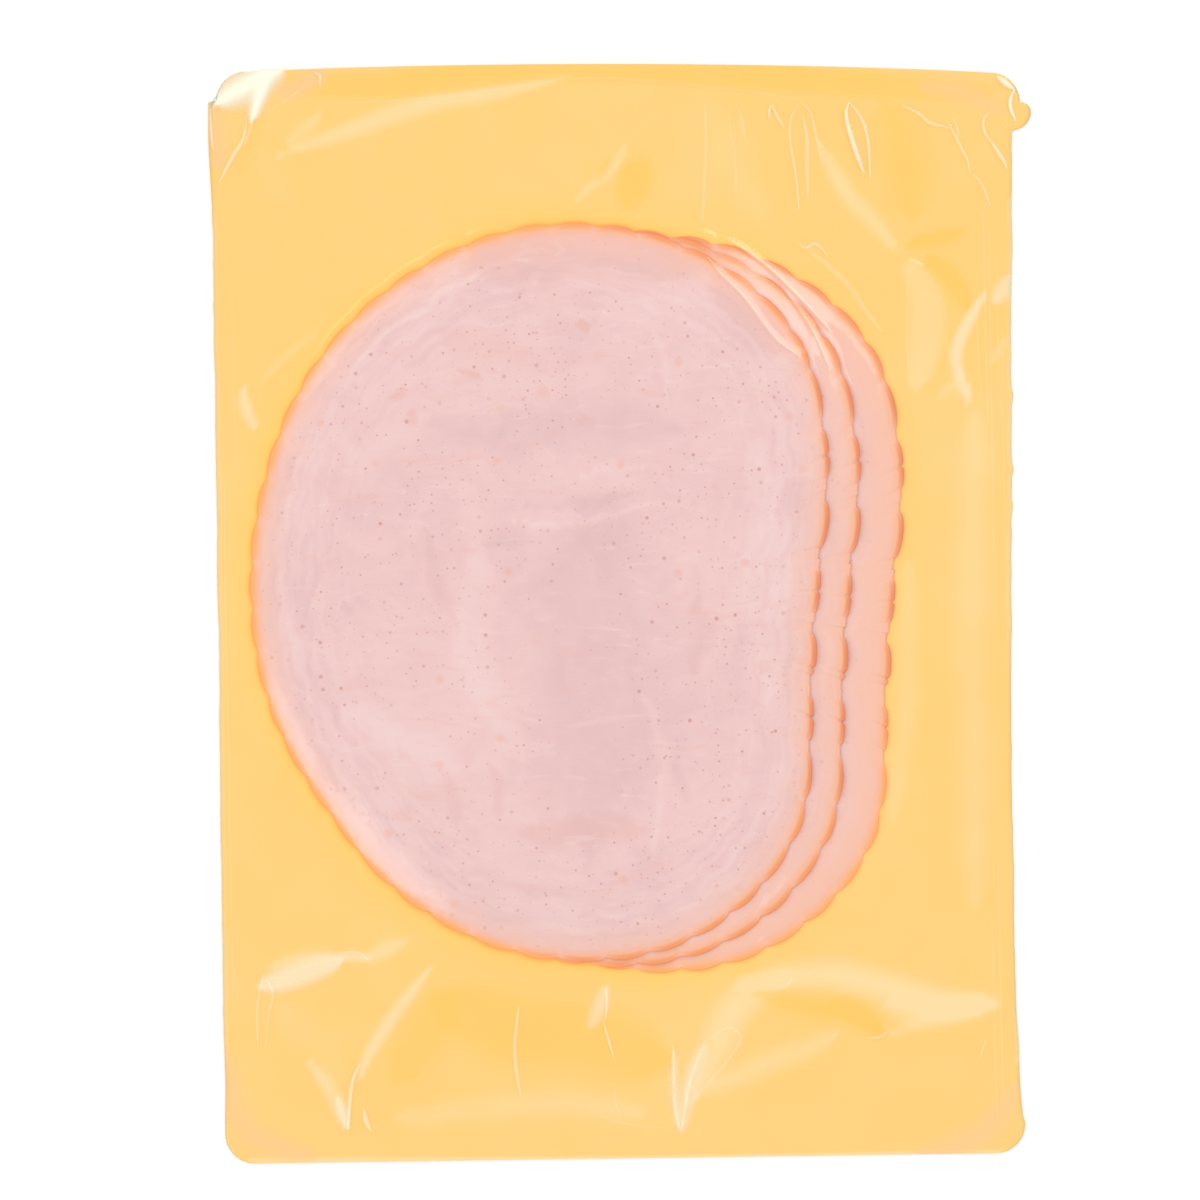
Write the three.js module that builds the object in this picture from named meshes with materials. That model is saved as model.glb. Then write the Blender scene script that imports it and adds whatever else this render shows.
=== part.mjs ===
// Flat vacuum pack of sliced turkey ham, lying on its back. A yellow backing film carries
// three slices cut from one netted joint, each laid a little further left than the one
// below, and a clear film is drawn down over them and sealed to the backing all round.
// Millimetres, +Z up, +Y towards the top of the pack, origin under the middle of its box.
import * as THREE from "three";

// The two films
const packWidth = 150;
const leftLength = 204.6; // the left side of the pack is a little longer than the right
const rightLength = 202.5;
const topBow = 1.6; // how far the top cut rises in its middle
const rightDip = 0.6; // how far the right cut is drawn in at its middle
const cornerRadius = 5.5;
const filmThickness = 0.3;
const cornerShift = 1.6; // the punch that rounds the top corners sits this far to the right
const tabReach = 3.7; // torn tab that the cutter left on the right side, below the corner
const tabWidth = 5.8;

// The slices. Their outline is given by its radius every 22.5 degrees, anticlockwise
// from +X: round on the left, nearly straight on the right.
const sliceRadii = [52.7, 59.4, 68.6, 70.7, 68.9, 64.5, 59.9, 55.8, 54.2, 55, 57.1, 63.2, 68.7, 71.1, 66.7, 55.5];
const sliceThickness = 1.4;
const rimRound = 0.4; // how much lower the rim is than the face
const rimWidth = 1; // how far in from the edge the rim starts to fall
const topSlicePlace = [-14.8, 3.9];
const slicesFromTop = [
  { name: "slice_top", shift: [0, 0], colour: 0xecc6c2 },
  { name: "slice_middle", shift: [5.9, -1], colour: 0xf0c2b4 },
  { name: "slice_bottom", shift: [14, -2.2], colour: 0xf6c8b0 },
];

// The net leaves scallops in the rim: long deep ones on the straight side, short shallow
// ones on the round side.
const straightStart = THREE.MathUtils.degToRad(-31.3); // direction of its first notch
const straightEnd = THREE.MathUtils.degToRad(25);
const scallopPitch = { straight: 12.1, round: 8.45 };
const scallopDepth = { straight: 0.95, round: 0.55 };
const unevenness = 0.25; // share by which one scallop's depth differs from the next

// How the layers lie on each other
const gap = 0.3; // clearance between one layer and the next
const lip = 0.5; // a layer stays level this far past the edge of the slice under it
const sliceDrape = 5.2; // a slice comes down within this much more
const filmDrape = 3; // and the tighter clear film within this
const step = sliceThickness + gap;

const fullTurn = 2 * Math.PI;
const filmSegments = 108;

// Radius of the plain outline at an angle: a smooth cubic through the radii given above.
function sliceRadius(angle) {
  const count = sliceRadii.length;
  const place = THREE.MathUtils.euclideanModulo((angle / fullTurn) * count, count);
  const first = Math.floor(place);
  const t = place - first;
  const [a, b, c, d] = [-1, 0, 1, 2].map((k) => sliceRadii[(first + k + count) % count]);
  return b + 0.5 * t * (c - a + t * (2 * a - 5 * b + 4 * c - d + t * (3 * (b - c) + d - a)));
}

// The rim as directions and radii, from the first notch of the straight side: each scallop
// starts at a notch and has two more points on its crest.
function scallopedRim() {
  const starts = [straightStart];
  while (starts.at(-1) < straightStart + fullTurn) {
    const angle = starts.at(-1);
    const pitch = angle < straightEnd ? scallopPitch.straight : scallopPitch.round;
    starts.push(angle + pitch / sliceRadius(angle));
  }
  const fit = fullTurn / (starts.at(-1) - straightStart);
  const rim = [];
  starts.slice(0, -1).forEach((start, k) => {
    const from = straightStart + (start - straightStart) * fit;
    const span = (starts[k + 1] - start) * fit;
    const depth = start < straightEnd ? scallopDepth.straight : scallopDepth.round;
    const notch = depth * (1 + unevenness * Math.sin(2.4 * k));
    [notch, 0, 0].forEach((cut, j) => {
      const angle = from + (span * j) / 3;
      rim.push({ angle, radius: sliceRadius(angle) - cut });
    });
  });
  return rim;
}

function centreOf(slice) {
  return new THREE.Vector2(topSlicePlace[0] + slice.shift[0], topSlicePlace[1] + slice.shift[1]);
}

// How far a point lies outside a slice's plain outline, negative inside it.
function outside(slice, x, y) {
  const from = new THREE.Vector2(x, y).sub(centreOf(slice));
  return from.length() - sliceRadius(from.angle());
}

// Distance from a place inside a slice to its plain outline, along a direction.
function reach(slice, centre, angle) {
  let distance = sliceRadius(angle);
  for (let pass = 0; pass < 12; pass += 1) {
    const x = centre.x + distance * Math.cos(angle);
    const y = centre.y + distance * Math.sin(angle);
    distance -= outside(slice, x, y);
  }
  return distance;
}

function slicesBelow(slice) {
  return slicesFromTop.slice(slicesFromTop.indexOf(slice) + 1);
}

// Height that the slices below give a slice at a point: level over each of them, and down
// to what is under it within the drape.
function liftOver(below, x, y) {
  return below.reduce((lift, slice) => {
    const fall = (outside(slice, x, y) - lip) / sliceDrape;
    return lift + step * (1 - THREE.MathUtils.clamp(fall, 0, 1));
  }, 0);
}

// Height of the clear film at a point: it lies on each slice's face, and past the slice's
// edge it comes down steadily until it meets what lies lower.
function filmLift(x, y) {
  const heights = slicesFromTop.map((slice) => {
    const past = Math.max(0, outside(slice, x, y) - lip);
    return liftOver(slicesBelow(slice), x, y) + step * (1 - past / filmDrape);
  });
  return Math.max(0, ...heights);
}

// Rings that pick up where the layers over each slice start and end their way down.
function drapeRings(slices, drapes, centre, angle) {
  return slices
    .map((slice) => reach(slice, centre, angle) + lip)
    .flatMap((start) => [start, ...drapes.map((drape) => start + drape)])
    .sort((a, b) => a - b);
}

// Keeps a row of growing radii at least a little apart, and the last of them under a limit.
function spacedOut(radii, limit) {
  const least = 0.15;
  return radii.map((radius, k) => Math.min(radius + k * least, limit - (radii.length - k) * least));
}

// A flat net of points and triangles: one point in the middle and rings round it.
function polarNet(centre, angles, ringsAt) {
  const points = [centre.clone()];
  const triangles = [];
  const rings = ringsAt.map((radii) => radii.length)[0];
  const count = angles.length;
  for (let ring = 0; ring < rings; ring += 1) {
    angles.forEach((angle, k) => {
      const reachOut = new THREE.Vector2(Math.cos(angle), Math.sin(angle));
      points.push(reachOut.multiplyScalar(ringsAt[k][ring]).add(centre));
    });
  }
  for (let k = 0; k < count; k += 1) {
    const next = (k + 1) % count;
    triangles.push([0, 1 + k, 1 + next]);
    for (let ring = 1; ring < rings; ring += 1) {
      const inner = 1 + (ring - 1) * count;
      const outer = inner + count;
      triangles.push([inner + k, outer + k, outer + next], [inner + k, outer + next, inner + next]);
    }
  }
  return { points, triangles };
}

// Gives a flat net an upper and a lower face at the heights that two functions state, and
// walls along its open edges, so that it becomes one closed body.
function solidFrom({ points, triangles }, topAt, bottomAt) {
  const count = points.length;
  const position = [
    ...points.flatMap((p, k) => [p.x, p.y, topAt(p.x, p.y, k)]),
    ...points.flatMap((p, k) => [p.x, p.y, bottomAt(p.x, p.y, k)]),
  ];
  const edges = new Set(triangles.flatMap(([a, b, c]) => [`${a},${b}`, `${b},${c}`, `${c},${a}`]));
  const open = [...edges].map((edge) => edge.split(",").map(Number)).filter(([a, b]) => !edges.has(`${b},${a}`));
  const index = [
    ...triangles.flat(),
    ...triangles.flatMap(([a, b, c]) => [count + c, count + b, count + a]),
    ...open.flatMap(([a, b]) => [a, count + a, count + b, a, count + b, b]),
  ];
  const geometry = new THREE.BufferGeometry();
  geometry.setAttribute("position", new THREE.Float32BufferAttribute(position, 3));
  geometry.setIndex(index);
  geometry.computeVertexNormals();
  return geometry;
}

// Outline of both films: four cuts, rounded corners and the torn tab.
function packOutline() {
  const right = packWidth / 2;
  const bottom = -leftLength / 2;
  const topLeft = leftLength / 2;
  const topRight = bottom + rightLength;
  const inner = right - cornerRadius; // centres of the corner arcs
  const underCorner = topRight - cornerRadius;
  const tabFoot = underCorner - tabWidth;
  const shape = new THREE.Shape();
  shape.moveTo(-inner, bottom);
  shape.lineTo(inner, bottom);
  shape.absarc(inner, bottom + cornerRadius, cornerRadius, -Math.PI / 2, 0);
  shape.quadraticCurveTo(right - 2 * rightDip, 0, right, tabFoot);
  shape.bezierCurveTo(
    right + 1.1 * tabReach, tabFoot,
    right + 1.35 * tabReach, underCorner,
    right + cornerShift, underCorner,
  );
  shape.absarc(inner + cornerShift, underCorner, cornerRadius, 0, Math.PI / 2);
  shape.quadraticCurveTo(0, (topLeft + topRight) / 2 + 2 * topBow, -inner + cornerShift, topLeft);
  shape.absarc(-inner + cornerShift, topLeft - cornerRadius, cornerRadius, Math.PI / 2, Math.PI);
  shape.lineTo(-right, topLeft - cornerRadius);
  shape.absarc(-inner, bottom + cornerRadius, cornerRadius, Math.PI, 1.5 * Math.PI);
  const points = shape.getPoints(6);
  return points.filter((p, k) => p.distanceTo(points.at(k - 1)) > 0.01);
}

function piece(name, geometry, colour, roughness, more = {}) {
  const material = new THREE.MeshStandardMaterial({ color: colour, roughness, metalness: 0, ...more });
  const mesh = new THREE.Mesh(geometry, material);
  mesh.name = name;
  return mesh;
}

function backingFilm() {
  const points = packOutline();
  const triangles = THREE.ShapeUtils.triangulateShape(points, []);
  const geometry = solidFrom({ points, triangles }, () => filmThickness, () => 0);
  return piece("backing_film", geometry, 0xffd584, 0.45);
}

function turkeySlice(slice) {
  const below = slicesBelow(slice);
  const centre = centreOf(slice);
  const rim = scallopedRim();
  const ringsAt = rim.map(({ angle, radius }) => {
    const shoulder = radius - rimWidth;
    return [...spacedOut(drapeRings(below, [sliceDrape], centre, angle), shoulder), shoulder, radius];
  });
  const net = polarNet(centre, rim.map(({ angle }) => angle), ringsAt);
  const firstOfRim = net.points.length - rim.length;
  const floorAt = (x, y) => filmThickness + gap + liftOver(below, x, y);
  const faceAt = (x, y, k) => floorAt(x, y) + sliceThickness - (k < firstOfRim ? 0 : rimRound);
  return piece(slice.name, solidFrom(net, faceAt, floorAt), slice.colour, 0.55);
}

function clearFilm() {
  const centre = centreOf(slicesFromTop[1]);
  const angles = Array.from({ length: filmSegments }, (_, k) => (k * fullTurn) / filmSegments);
  const ringsAt = angles.map((angle) => {
    const rings = drapeRings(slicesFromTop, [filmDrape, sliceDrape], centre, angle);
    return spacedOut(rings.slice(0, -1), Infinity); // only slices come down as far out as the last
  });
  const net = polarNet(centre, angles, ringsAt);
  const firstOfFoot = net.points.length - filmSegments;
  const foot = net.points.slice(firstOfFoot);
  const outline = packOutline();
  // The level border reaches from the foot of the drape to the cut edge of the pack.
  const border = THREE.ShapeUtils.triangulateShape(outline, [foot]);
  const footOrOutline = (k) => (k < outline.length ? net.points.length + k : firstOfFoot + k - outline.length);
  const points = [...net.points, ...outline];
  const triangles = [...net.triangles, ...border.map((corners) => corners.map(footOrOutline))];
  const undersideAt = (x, y) => filmThickness + gap + filmLift(x, y);
  const geometry = solidFrom({ points, triangles }, (x, y) => undersideAt(x, y) + filmThickness, undersideAt);
  return piece("clear_film", geometry, 0xffffff, 0.12, { transparent: true, opacity: 0.25 });
}

const layers = new THREE.Group();
layers.add(backingFilm(), ...slicesFromTop.map(turkeySlice), clearFilm());

// The tab makes the outline lopsided, so the layers are moved to stand over the origin.
const middle = new THREE.Box3().setFromObject(layers).getCenter(new THREE.Vector3());
layers.position.set(-middle.x, -middle.y, 0);

const pack = new THREE.Group();
pack.add(layers);

export default pack;
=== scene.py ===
import math

import bpy
import numpy as np
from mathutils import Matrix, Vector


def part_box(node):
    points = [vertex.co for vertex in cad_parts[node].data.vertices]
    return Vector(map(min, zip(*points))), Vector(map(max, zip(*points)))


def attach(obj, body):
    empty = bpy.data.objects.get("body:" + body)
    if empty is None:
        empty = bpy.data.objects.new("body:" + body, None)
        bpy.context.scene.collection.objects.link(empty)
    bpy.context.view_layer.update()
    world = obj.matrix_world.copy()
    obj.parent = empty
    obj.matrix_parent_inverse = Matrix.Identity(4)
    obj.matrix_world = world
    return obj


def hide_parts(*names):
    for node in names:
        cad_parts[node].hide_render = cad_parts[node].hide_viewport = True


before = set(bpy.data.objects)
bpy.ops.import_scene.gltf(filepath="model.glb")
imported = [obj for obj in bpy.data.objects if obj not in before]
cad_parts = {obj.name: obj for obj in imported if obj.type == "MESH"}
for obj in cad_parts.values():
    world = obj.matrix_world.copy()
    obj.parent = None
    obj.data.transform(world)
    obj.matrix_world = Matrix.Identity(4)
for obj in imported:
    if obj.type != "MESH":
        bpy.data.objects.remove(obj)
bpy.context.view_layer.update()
print("frame loaded")

# ---- places and small helpers

pack = {
    "width": 150.0,
    "leftLength": 204.6,
    "rightLength": 202.5,
    "topBow": 1.568,  # how far the top cut rises in its middle
    "slope": (30.0, 56.0),  # its slope and bow start this far up the pack, and are whole this much further
    "rightDip": 4.6,  # how strongly the right cut is drawn in, most in its lower third
    "dipPowers": (0.5, 1.3),  # how steeply that starts at the bottom, and ends at the top
    "corner": 5.5,
    "cornerRows": 13,  # of points, in a round corner and in the torn tab
    "cornerShift": 1.6,  # the top corners are punched this far to the right
    "leftCornerShift": 1.0,
    "leftFlare": 0.55,  # how far the left cut leans out below its top corner
    "flare": (70.0, 24.0),  # from where up the pack, and over what length
    "nubs": (39.6, 26.1, 18.6),  # where bits of film stand out of the right cut
    "nubReach": 0.5,
    "nubWidth": 0.8,
    "tabReach": 3.7,
    "tabWidth": 5.3,
    "tabPulls": (1.1, 1.35),  # the tab's curve is pulled out by these shares of its reach
    "tabStep": 0.12,  # from the tab's last row to the corner's first
    "ripple": 0.09,  # unevenness of the cut edge
    "longRipple": 1.5,  # a longer one is this much stronger
    "rippleSizes": ((2.1, 9), (2.4, 8)),  # of both, on the left cut and on the right one
    "rippleEnd": (8.0, 4.0),  # it is gone this close to the pack's ends, and whole this much further in
    "fade": 9,  # power by which a cut's moves fade out towards the pack's middle
}

photo = {
    "scale": 0.1875,  # mm to a photo pixel
    "middle": (618.2, 612.5),  # photo pixel over the middle of the pack
    "turn": math.radians(0.8),  # the pack lies turned this far anticlockwise
    "side": 1200,
}

backingLow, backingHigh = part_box("backing_film")
toFrame = np.array([
    backingLow.x + 0.001 * pack["width"] / 2,
    backingLow.y + 0.001 * pack["leftLength"] / 2,
    0.0,
])


def fromPhoto(u, v):
    # a photo pixel as a place on the pack, in mm
    du = np.asarray(u, float) - photo["middle"][0]
    dv = np.asarray(v, float) - photo["middle"][1]
    c, s = math.cos(photo["turn"]), math.sin(photo["turn"])
    return photo["scale"] * (du * c - dv * s), -photo["scale"] * (du * s + dv * c)


def ease(t):
    # smooth step from 0 to 1
    t = np.clip(t, 0.0, 1.0)
    return t * t * (3 - 2 * t)


def drift(x, y, size, seed):
    # smooth random field from -1 to 1: seeded numbers on a square lattice, eased between
    numbers = np.random.default_rng(seed).uniform(-1, 1, (64, 64))
    gx, gy = x / size + 31.3, y / size + 30.7
    ix, iy = np.floor(gx).astype(int), np.floor(gy).astype(int)
    tx, ty = ease(gx - ix), ease(gy - iy)
    ix, iy = ix % 63, iy % 63
    low = numbers[iy, ix] * (1 - tx) + numbers[iy, ix + 1] * tx
    high = numbers[iy + 1, ix] * (1 - tx) + numbers[iy + 1, ix + 1] * tx
    return low * (1 - ty) + high * ty


def cubic(a, b, c, d, t):
    # a smooth curve from b to c, that comes from a and goes on to d
    return b + 0.5 * t * (c - a + t * (2 * a - 5 * b + 4 * c - d + t * (3 * (b - c) + d - a)))


def smoothLine(points, count=6):
    # a smooth cubic through the points, with this many points from each to the next
    p = np.asarray(points, float)
    p = np.vstack([2 * p[0] - p[1], p, 2 * p[-1] - p[-2]])
    t = np.linspace(0, 1, count, endpoint=False)[:, None]
    spans = [cubic(a, b, c, d, t) for a, b, c, d in zip(p[:-3], p[1:-2], p[2:-1], p[3:])]
    return np.vstack(spans + [p[-2:-1]])


def brush(width, path, **more):
    # a soft stroke drawn on the photo: its width and its path in photo pixels, and what it does there.
    # Its width swells and tapers as the sine of the way along, to the power taper, and the share
    # flat of it is level before it eases off
    return {"width": width, "path": path, "taper": 0.7, "flat": 0.0, **more}


def pathOf(stroke):
    # a stroke's path on the pack, and half its width, in mm
    px, py = fromPhoto(*smoothLine(stroke["path"]).T)
    return px, py, 0.5 * stroke["width"] * photo["scale"]


def boxAround(x, y, px, py, reach):
    return (x > px.min() - reach) & (x < px.max() + reach) & (y > py.min() - reach) & (y < py.max() + reach)


def nearestOn(x, y, px, py):
    # each point's distance to a path, the side of the path that it lies on, 1 or -1, and how far along
    # the path it is, from 0 to 1
    steps = np.hypot(np.diff(px), np.diff(py))
    starts = np.concatenate([[0], np.cumsum(steps)])
    best, side, where = np.full(x.shape, np.inf), np.ones(x.shape), np.zeros(x.shape)
    for ax, ay, bx, by, step, start in zip(px, py, px[1:], py[1:], steps, starts):
        t = np.clip(((x - ax) * (bx - ax) + (y - ay) * (by - ay)) / step**2, 0, 1)
        d = np.hypot(x - ax - t * (bx - ax), y - ay - t * (by - ay))
        closer = d < best
        turned = (bx - ax) * (y - ay) - (by - ay) * (x - ax)
        best = np.where(closer, d, best)
        side = np.where(closer, np.sign(turned), side)
        where = np.where(closer, (start + t * step) / starts[-1], where)
    return best, side, where


def strokeOver(x, y, stroke):
    # 1 along a stroke's middle, easing to 0 at its side
    px, py, half = pathOf(stroke)
    inside = boxAround(x, y, px, py, half)
    best, _, where = nearestOn(x[inside], y[inside], px, py)
    swell = np.maximum(np.sin(np.pi * np.clip(where, 0.004, 0.996)), 0) ** stroke["taper"]
    room = half * swell + 1e-6
    value = np.zeros(x.shape)
    value[inside] = 1 - ease((best / room - stroke["flat"]) / (1 - stroke["flat"]))
    return value


def meshFrom(name, points, faces):
    # a smooth mesh piece from points in mm
    mesh = bpy.data.meshes.new(name)
    mesh.from_pydata((0.001 * np.asarray(points) + toFrame).tolist(), [], faces)
    mesh.update()
    mesh.polygons.foreach_set("use_smooth", np.full(len(mesh.polygons), True))
    piece = bpy.data.objects.new(name, mesh)
    bpy.context.scene.collection.objects.link(piece)
    return piece


def addField(piece, name, values):
    field = piece.data.attributes.new(name, "FLOAT", "POINT")
    field.data.foreach_set("value", np.asarray(values, np.float32).ravel())


def gridFaces(rows, columns, first=0, turned=False):
    # four-sided faces of a grid of points, counted row by row
    i, j = np.mgrid[0 : rows - 1, 0 : columns - 1]
    a = first + i * columns + j
    faces = np.stack([a, a + 1, a + columns + 1, a + columns], -1).reshape(-1, 4)
    return (faces[:, ::-1] if turned else faces).tolist()


def stations(low, high, count, spacing):
    # places from low to high, closer together where spacing(place) is small
    fine = np.linspace(low, high, 4000)
    sums = np.concatenate([[0], np.cumsum(1 / spacing(0.5 * (fine[1:] + fine[:-1])))])
    return np.interp(np.linspace(0, sums[-1], count), sums, fine)


# ---- outline of both films

def filmSheet(rowCount, columnCount, rowSpacing, columnSpacing):
    # points of a film from its bottom cut to its top one: each row runs from the left cut to the
    # right cut, and the rows crowd together in the round corners and the torn tab
    half = pack["width"] / 2
    bottom, top = -pack["leftLength"] / 2, pack["leftLength"] / 2
    r, tab, reach, n = pack["corner"], pack["tabWidth"], pack["tabReach"], pack["cornerRows"]
    rise = r * (1 - np.cos(np.linspace(0, np.pi / 2, n)))
    inset = r - np.sqrt(np.maximum(0, r**2 - (r - rise) ** 2))
    t = np.linspace(0, 1, n)
    tabRise = (tab - pack["tabStep"]) * (3 * t**2 - 2 * t**3)
    # rows, from the bottom: corner arc, plain middle, tab, top corner arc
    plain = stations(bottom + r, top - r - tab, rowCount - 3 * n + 2, rowSpacing)[1:-1]
    q = np.concatenate([bottom + rise, plain, top - r - tab + tabRise, top - rise[::-1]])
    # how far each row's two ends are moved to the right
    left, right = np.zeros(q.shape), np.zeros(q.shape)
    left[:n] += inset
    right[:n] -= inset
    left[-n:] += pack["leftCornerShift"] + inset[::-1]
    right[-n:] += pack["cornerShift"] - inset[::-1]
    early, late = pack["dipPowers"]
    along = np.clip((plain - bottom - r) / (top - bottom - 2 * r - tab), 0, 1)
    right[n : -2 * n] -= pack["rightDip"] * along**early * (1 - along) ** late
    low, high = pack["tabPulls"]
    curve = 3 * t * (1 - t) ** 2 * low * reach + 3 * t**2 * (1 - t) * high * reach
    right[-2 * n : -n] = curve + t**3 * pack["cornerShift"]
    flareFrom, flareLength = pack["flare"]
    left[n:-n] -= pack["leftFlare"] * ease((q[n:-n] - flareFrom) / flareLength)
    calm, grow = pack["rippleEnd"]
    ripple = pack["ripple"] * ease((top - calm - np.abs(q)) / grow)
    for end, (short, long), seed in zip((left, right), pack["rippleSizes"], (3, 5)):
        short, long = drift(q, 0 * q, short, seed), drift(q, 0 * q, long, seed + 1)
        end += ripple * (short + pack["longRipple"] * long)
    for place in pack["nubs"]:
        right += pack["nubReach"] * np.exp(-(((q - place) / pack["nubWidth"]) ** 2))
    # what the cuts are moved by fades out over a few columns
    across = (stations(-half, half, columnCount, columnSpacing) + half) / pack["width"]
    moved = left[:, None] * (1 - across) ** pack["fade"] + right[:, None] * across ** pack["fade"]
    x = pack["width"] * (across - 0.5) + moved
    # the top cut slopes down to the right and bows up a little, and the rows below follow it
    slope = (pack["leftLength"] - pack["rightLength"]) * across
    drop = slope - 4 * pack["topBow"] * across * (1 - across)
    slopeFrom, slopeLength = pack["slope"]
    y = q[:, None] - drop[None, :] * ease((q[:, None] - slopeFrom) / slopeLength)
    return x, y


def closedSheet(name, x, y, topAt, bottomAt, every=1):
    # one closed piece: the sheet's upper face, its lower face on every so manyth row and column,
    # and a wall round the edge
    rows, columns = x.shape
    xl, yl = x[::every, ::every], y[::every, ::every]
    lowRows, lowColumns = xl.shape
    topPoints = np.stack([x, y, topAt], -1).reshape(-1, 3)
    lowPoints = np.stack([xl, yl, bottomAt[::every, ::every]], -1).reshape(-1, 3)
    first = rows * columns
    faces = gridFaces(rows, columns) + gridFaces(lowRows, lowColumns, first, turned=True)
    upper = np.arange(rows * columns).reshape(rows, columns)
    lower = first + np.arange(lowRows * lowColumns).reshape(lowRows, lowColumns)
    sides = [
        (upper[0], lower[0]),
        (upper[:, -1], lower[:, -1]),
        (upper[-1, ::-1], lower[-1, ::-1]),
        (upper[::-1, 0], lower[::-1, 0]),
    ]
    for high, low in sides:
        for k in range(len(low) - 1):
            top = high[k * every : (k + 1) * every + 1]
            faces.append([int(low[k]), int(low[k + 1])] + [int(p) for p in top[::-1]])
    return meshFrom(name, np.vstack([topPoints, lowPoints]), faces)


# ---- outline of the slices, and how the layers lie on each other

ham = {
    # radius every 22.5 degrees anticlockwise from +X: round on the left, nearly straight on the right
    "radii": np.array([
        52.7, 59.4, 68.6, 70.7, 68.9, 64.5, 59.9, 55.8, 54.2, 55, 57.1, 63.2, 68.7, 71.1, 66.7, 55.5,
    ]),
    "thickness": 1.4,
    "topPlace": (-14.8, 3.9),
    "shifts": {"slice_bottom": (14, -2.2), "slice_middle": (5.9, -1), "slice_top": (0, 0)},
    "straight": np.radians([-31.3, 25]),  # from the first notch of the straight side to its end
    "pitch": (12.1, 8.45),  # of the net's scallops, on the straight side and on the round one
    "depth": (0.95, 0.75),
    "unevenness": 0.25,
    "archPower": 2.2,  # how square a round scallop is
    "bead": (0.17, 0.66, 0.4),  # a straight scallop's bead: its start and its share of a pitch, how round
    "splits": (0.52, 0.16, 0.5, None, 0.46),  # where a thread has split a straight side's bead
    "splitDepth": 0.75,
    "splitWidth": 0.04,
    "gap": 0.3,
    "lip": 0.5,
    "drape": 7.5,
    "filmReach": 3.4,  # how far past a slice's rim the film comes down
    "bridge": 0.6,  # how much of a notch the film spans
    "rimRound": 0.35,
    "rimDrop": (0.92, 0.3),  # how far the face is pressed down at its rim, and how much more in a notch
    "rimWidth": (4.0, 1.3),
    "edgeHeight": 0.65,  # how high the stack may be at its outline
    "edgeSlope": 0.32,  # and how much it rises from there, a mm
    "edgeBlend": (0.12, 0.25),  # how softly the pressed part passes into the level one
    "sag": 0.05,  # the faces lie this much lower than level, more or less
    "sagDrifts": ((0.6, 17, 11), (0.4, 6, 12)),  # how unevenly: share, size in mm, seed
}
lift = ham["thickness"] + ham["gap"]
fullTurn = 2 * math.pi
sliceNames = list(ham["shifts"])


def plainRadius(angle):
    # smooth cubic through the radii
    radii = ham["radii"]
    place = np.mod(angle, fullTurn) / fullTurn * len(radii)
    first = np.floor(place).astype(int)
    return cubic(*(radii[(first + k) % len(radii)] for k in (-1, 0, 1, 2)), place - first)


def scallopStarts():
    # directions of the notches: one pitch of the net after another, fitted to a full turn
    starts = [ham["straight"][0]]
    while starts[-1] < starts[0] + fullTurn:
        pitch = ham["pitch"][0 if starts[-1] < ham["straight"][1] else 1]
        starts.append(starts[-1] + pitch / float(plainRadius(starts[-1])))
    starts = np.array(starts)
    return starts[0] + (starts - starts[0]) * fullTurn / (starts[-1] - starts[0])


notches = scallopStarts()
straightCount = int(np.sum(notches < ham["straight"][1]))


def rimCut(angle):
    # how far the rim is cut in at a direction, and how much it stands out there, from 0 in a notch
    # to 1 on a crest. A round scallop is a low arch; a straight one is a bead with a flat beside it
    turned = notches[0] + np.mod(angle - notches[0], fullTurn)
    k = np.clip(np.searchsorted(notches, turned, side="right") - 1, 0, len(notches) - 2)
    p = (turned - notches[k]) / (notches[k + 1] - notches[k])
    straight = k < straightCount
    arch = 1 - np.abs(2 * np.clip(p, 0, 1) - 1) ** ham["archPower"]
    first, share, roundness = ham["bead"]
    s = np.clip((p - first) / share, 0, 1)
    bead = np.sin(np.pi * s) ** roundness
    for number, split in enumerate(ham["splits"]):
        if split is not None:
            cutIn = ham["splitDepth"] * np.exp(-(((s - split) / ham["splitWidth"]) ** 2))
            bead = np.where(k == number, bead * (1 - cutIn), bead)
    crest = np.where(straight, bead, arch)
    depth = np.where(straight, *ham["depth"]) * (1 + ham["unevenness"] * np.sin(2.4 * k))
    return depth * (1 - crest), crest


def rimSink(inward, crest):
    # how far the face lies below its level at a distance inside the rim
    low, more = ham["rimDrop"]
    wide, narrow = ham["rimWidth"]
    return low * (1 - ease(inward / wide)) + more * (1 - crest) * (1 - ease(inward / narrow))


def centreOf(name):
    return np.array(ham["topPlace"]) + ham["shifts"][name]


def outside(name, x, y):
    # how far a place lies past a slice's plain outline, and its direction from the slice's middle
    cx, cy = centreOf(name)
    angle = np.arctan2(y - cy, x - cx)
    return np.hypot(x - cx, y - cy) - plainRadius(angle), angle


def below(name):
    return sliceNames[: sliceNames.index(name)]


def liftOver(names, x, y):
    # height that the named slices give at a place: level over each, down to what is under it past its edge
    total = np.zeros(np.shape(x))
    for name in names:
        past, _ = outside(name, x, y)
        total += lift * (1 - ease((past - ham["lip"]) / ham["drape"]))
    return total


def filmLift(x, y):
    # height of the film over the backing: it lies on each slice in turn, and comes down past its rim
    height = np.zeros(np.shape(x))
    for name in sliceNames:
        past, angle = outside(name, x, y)
        inward, crest = rimCut(angle)
        past = past + (1 - ham["bridge"]) * inward
        fall = np.clip(1 - past / ham["filmReach"], 0, 1) ** 2
        target = liftOver(below(name), x, y) + lift - rimSink(-past, 1.0)
        height = height + (target - height) * fall
    return height


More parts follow.
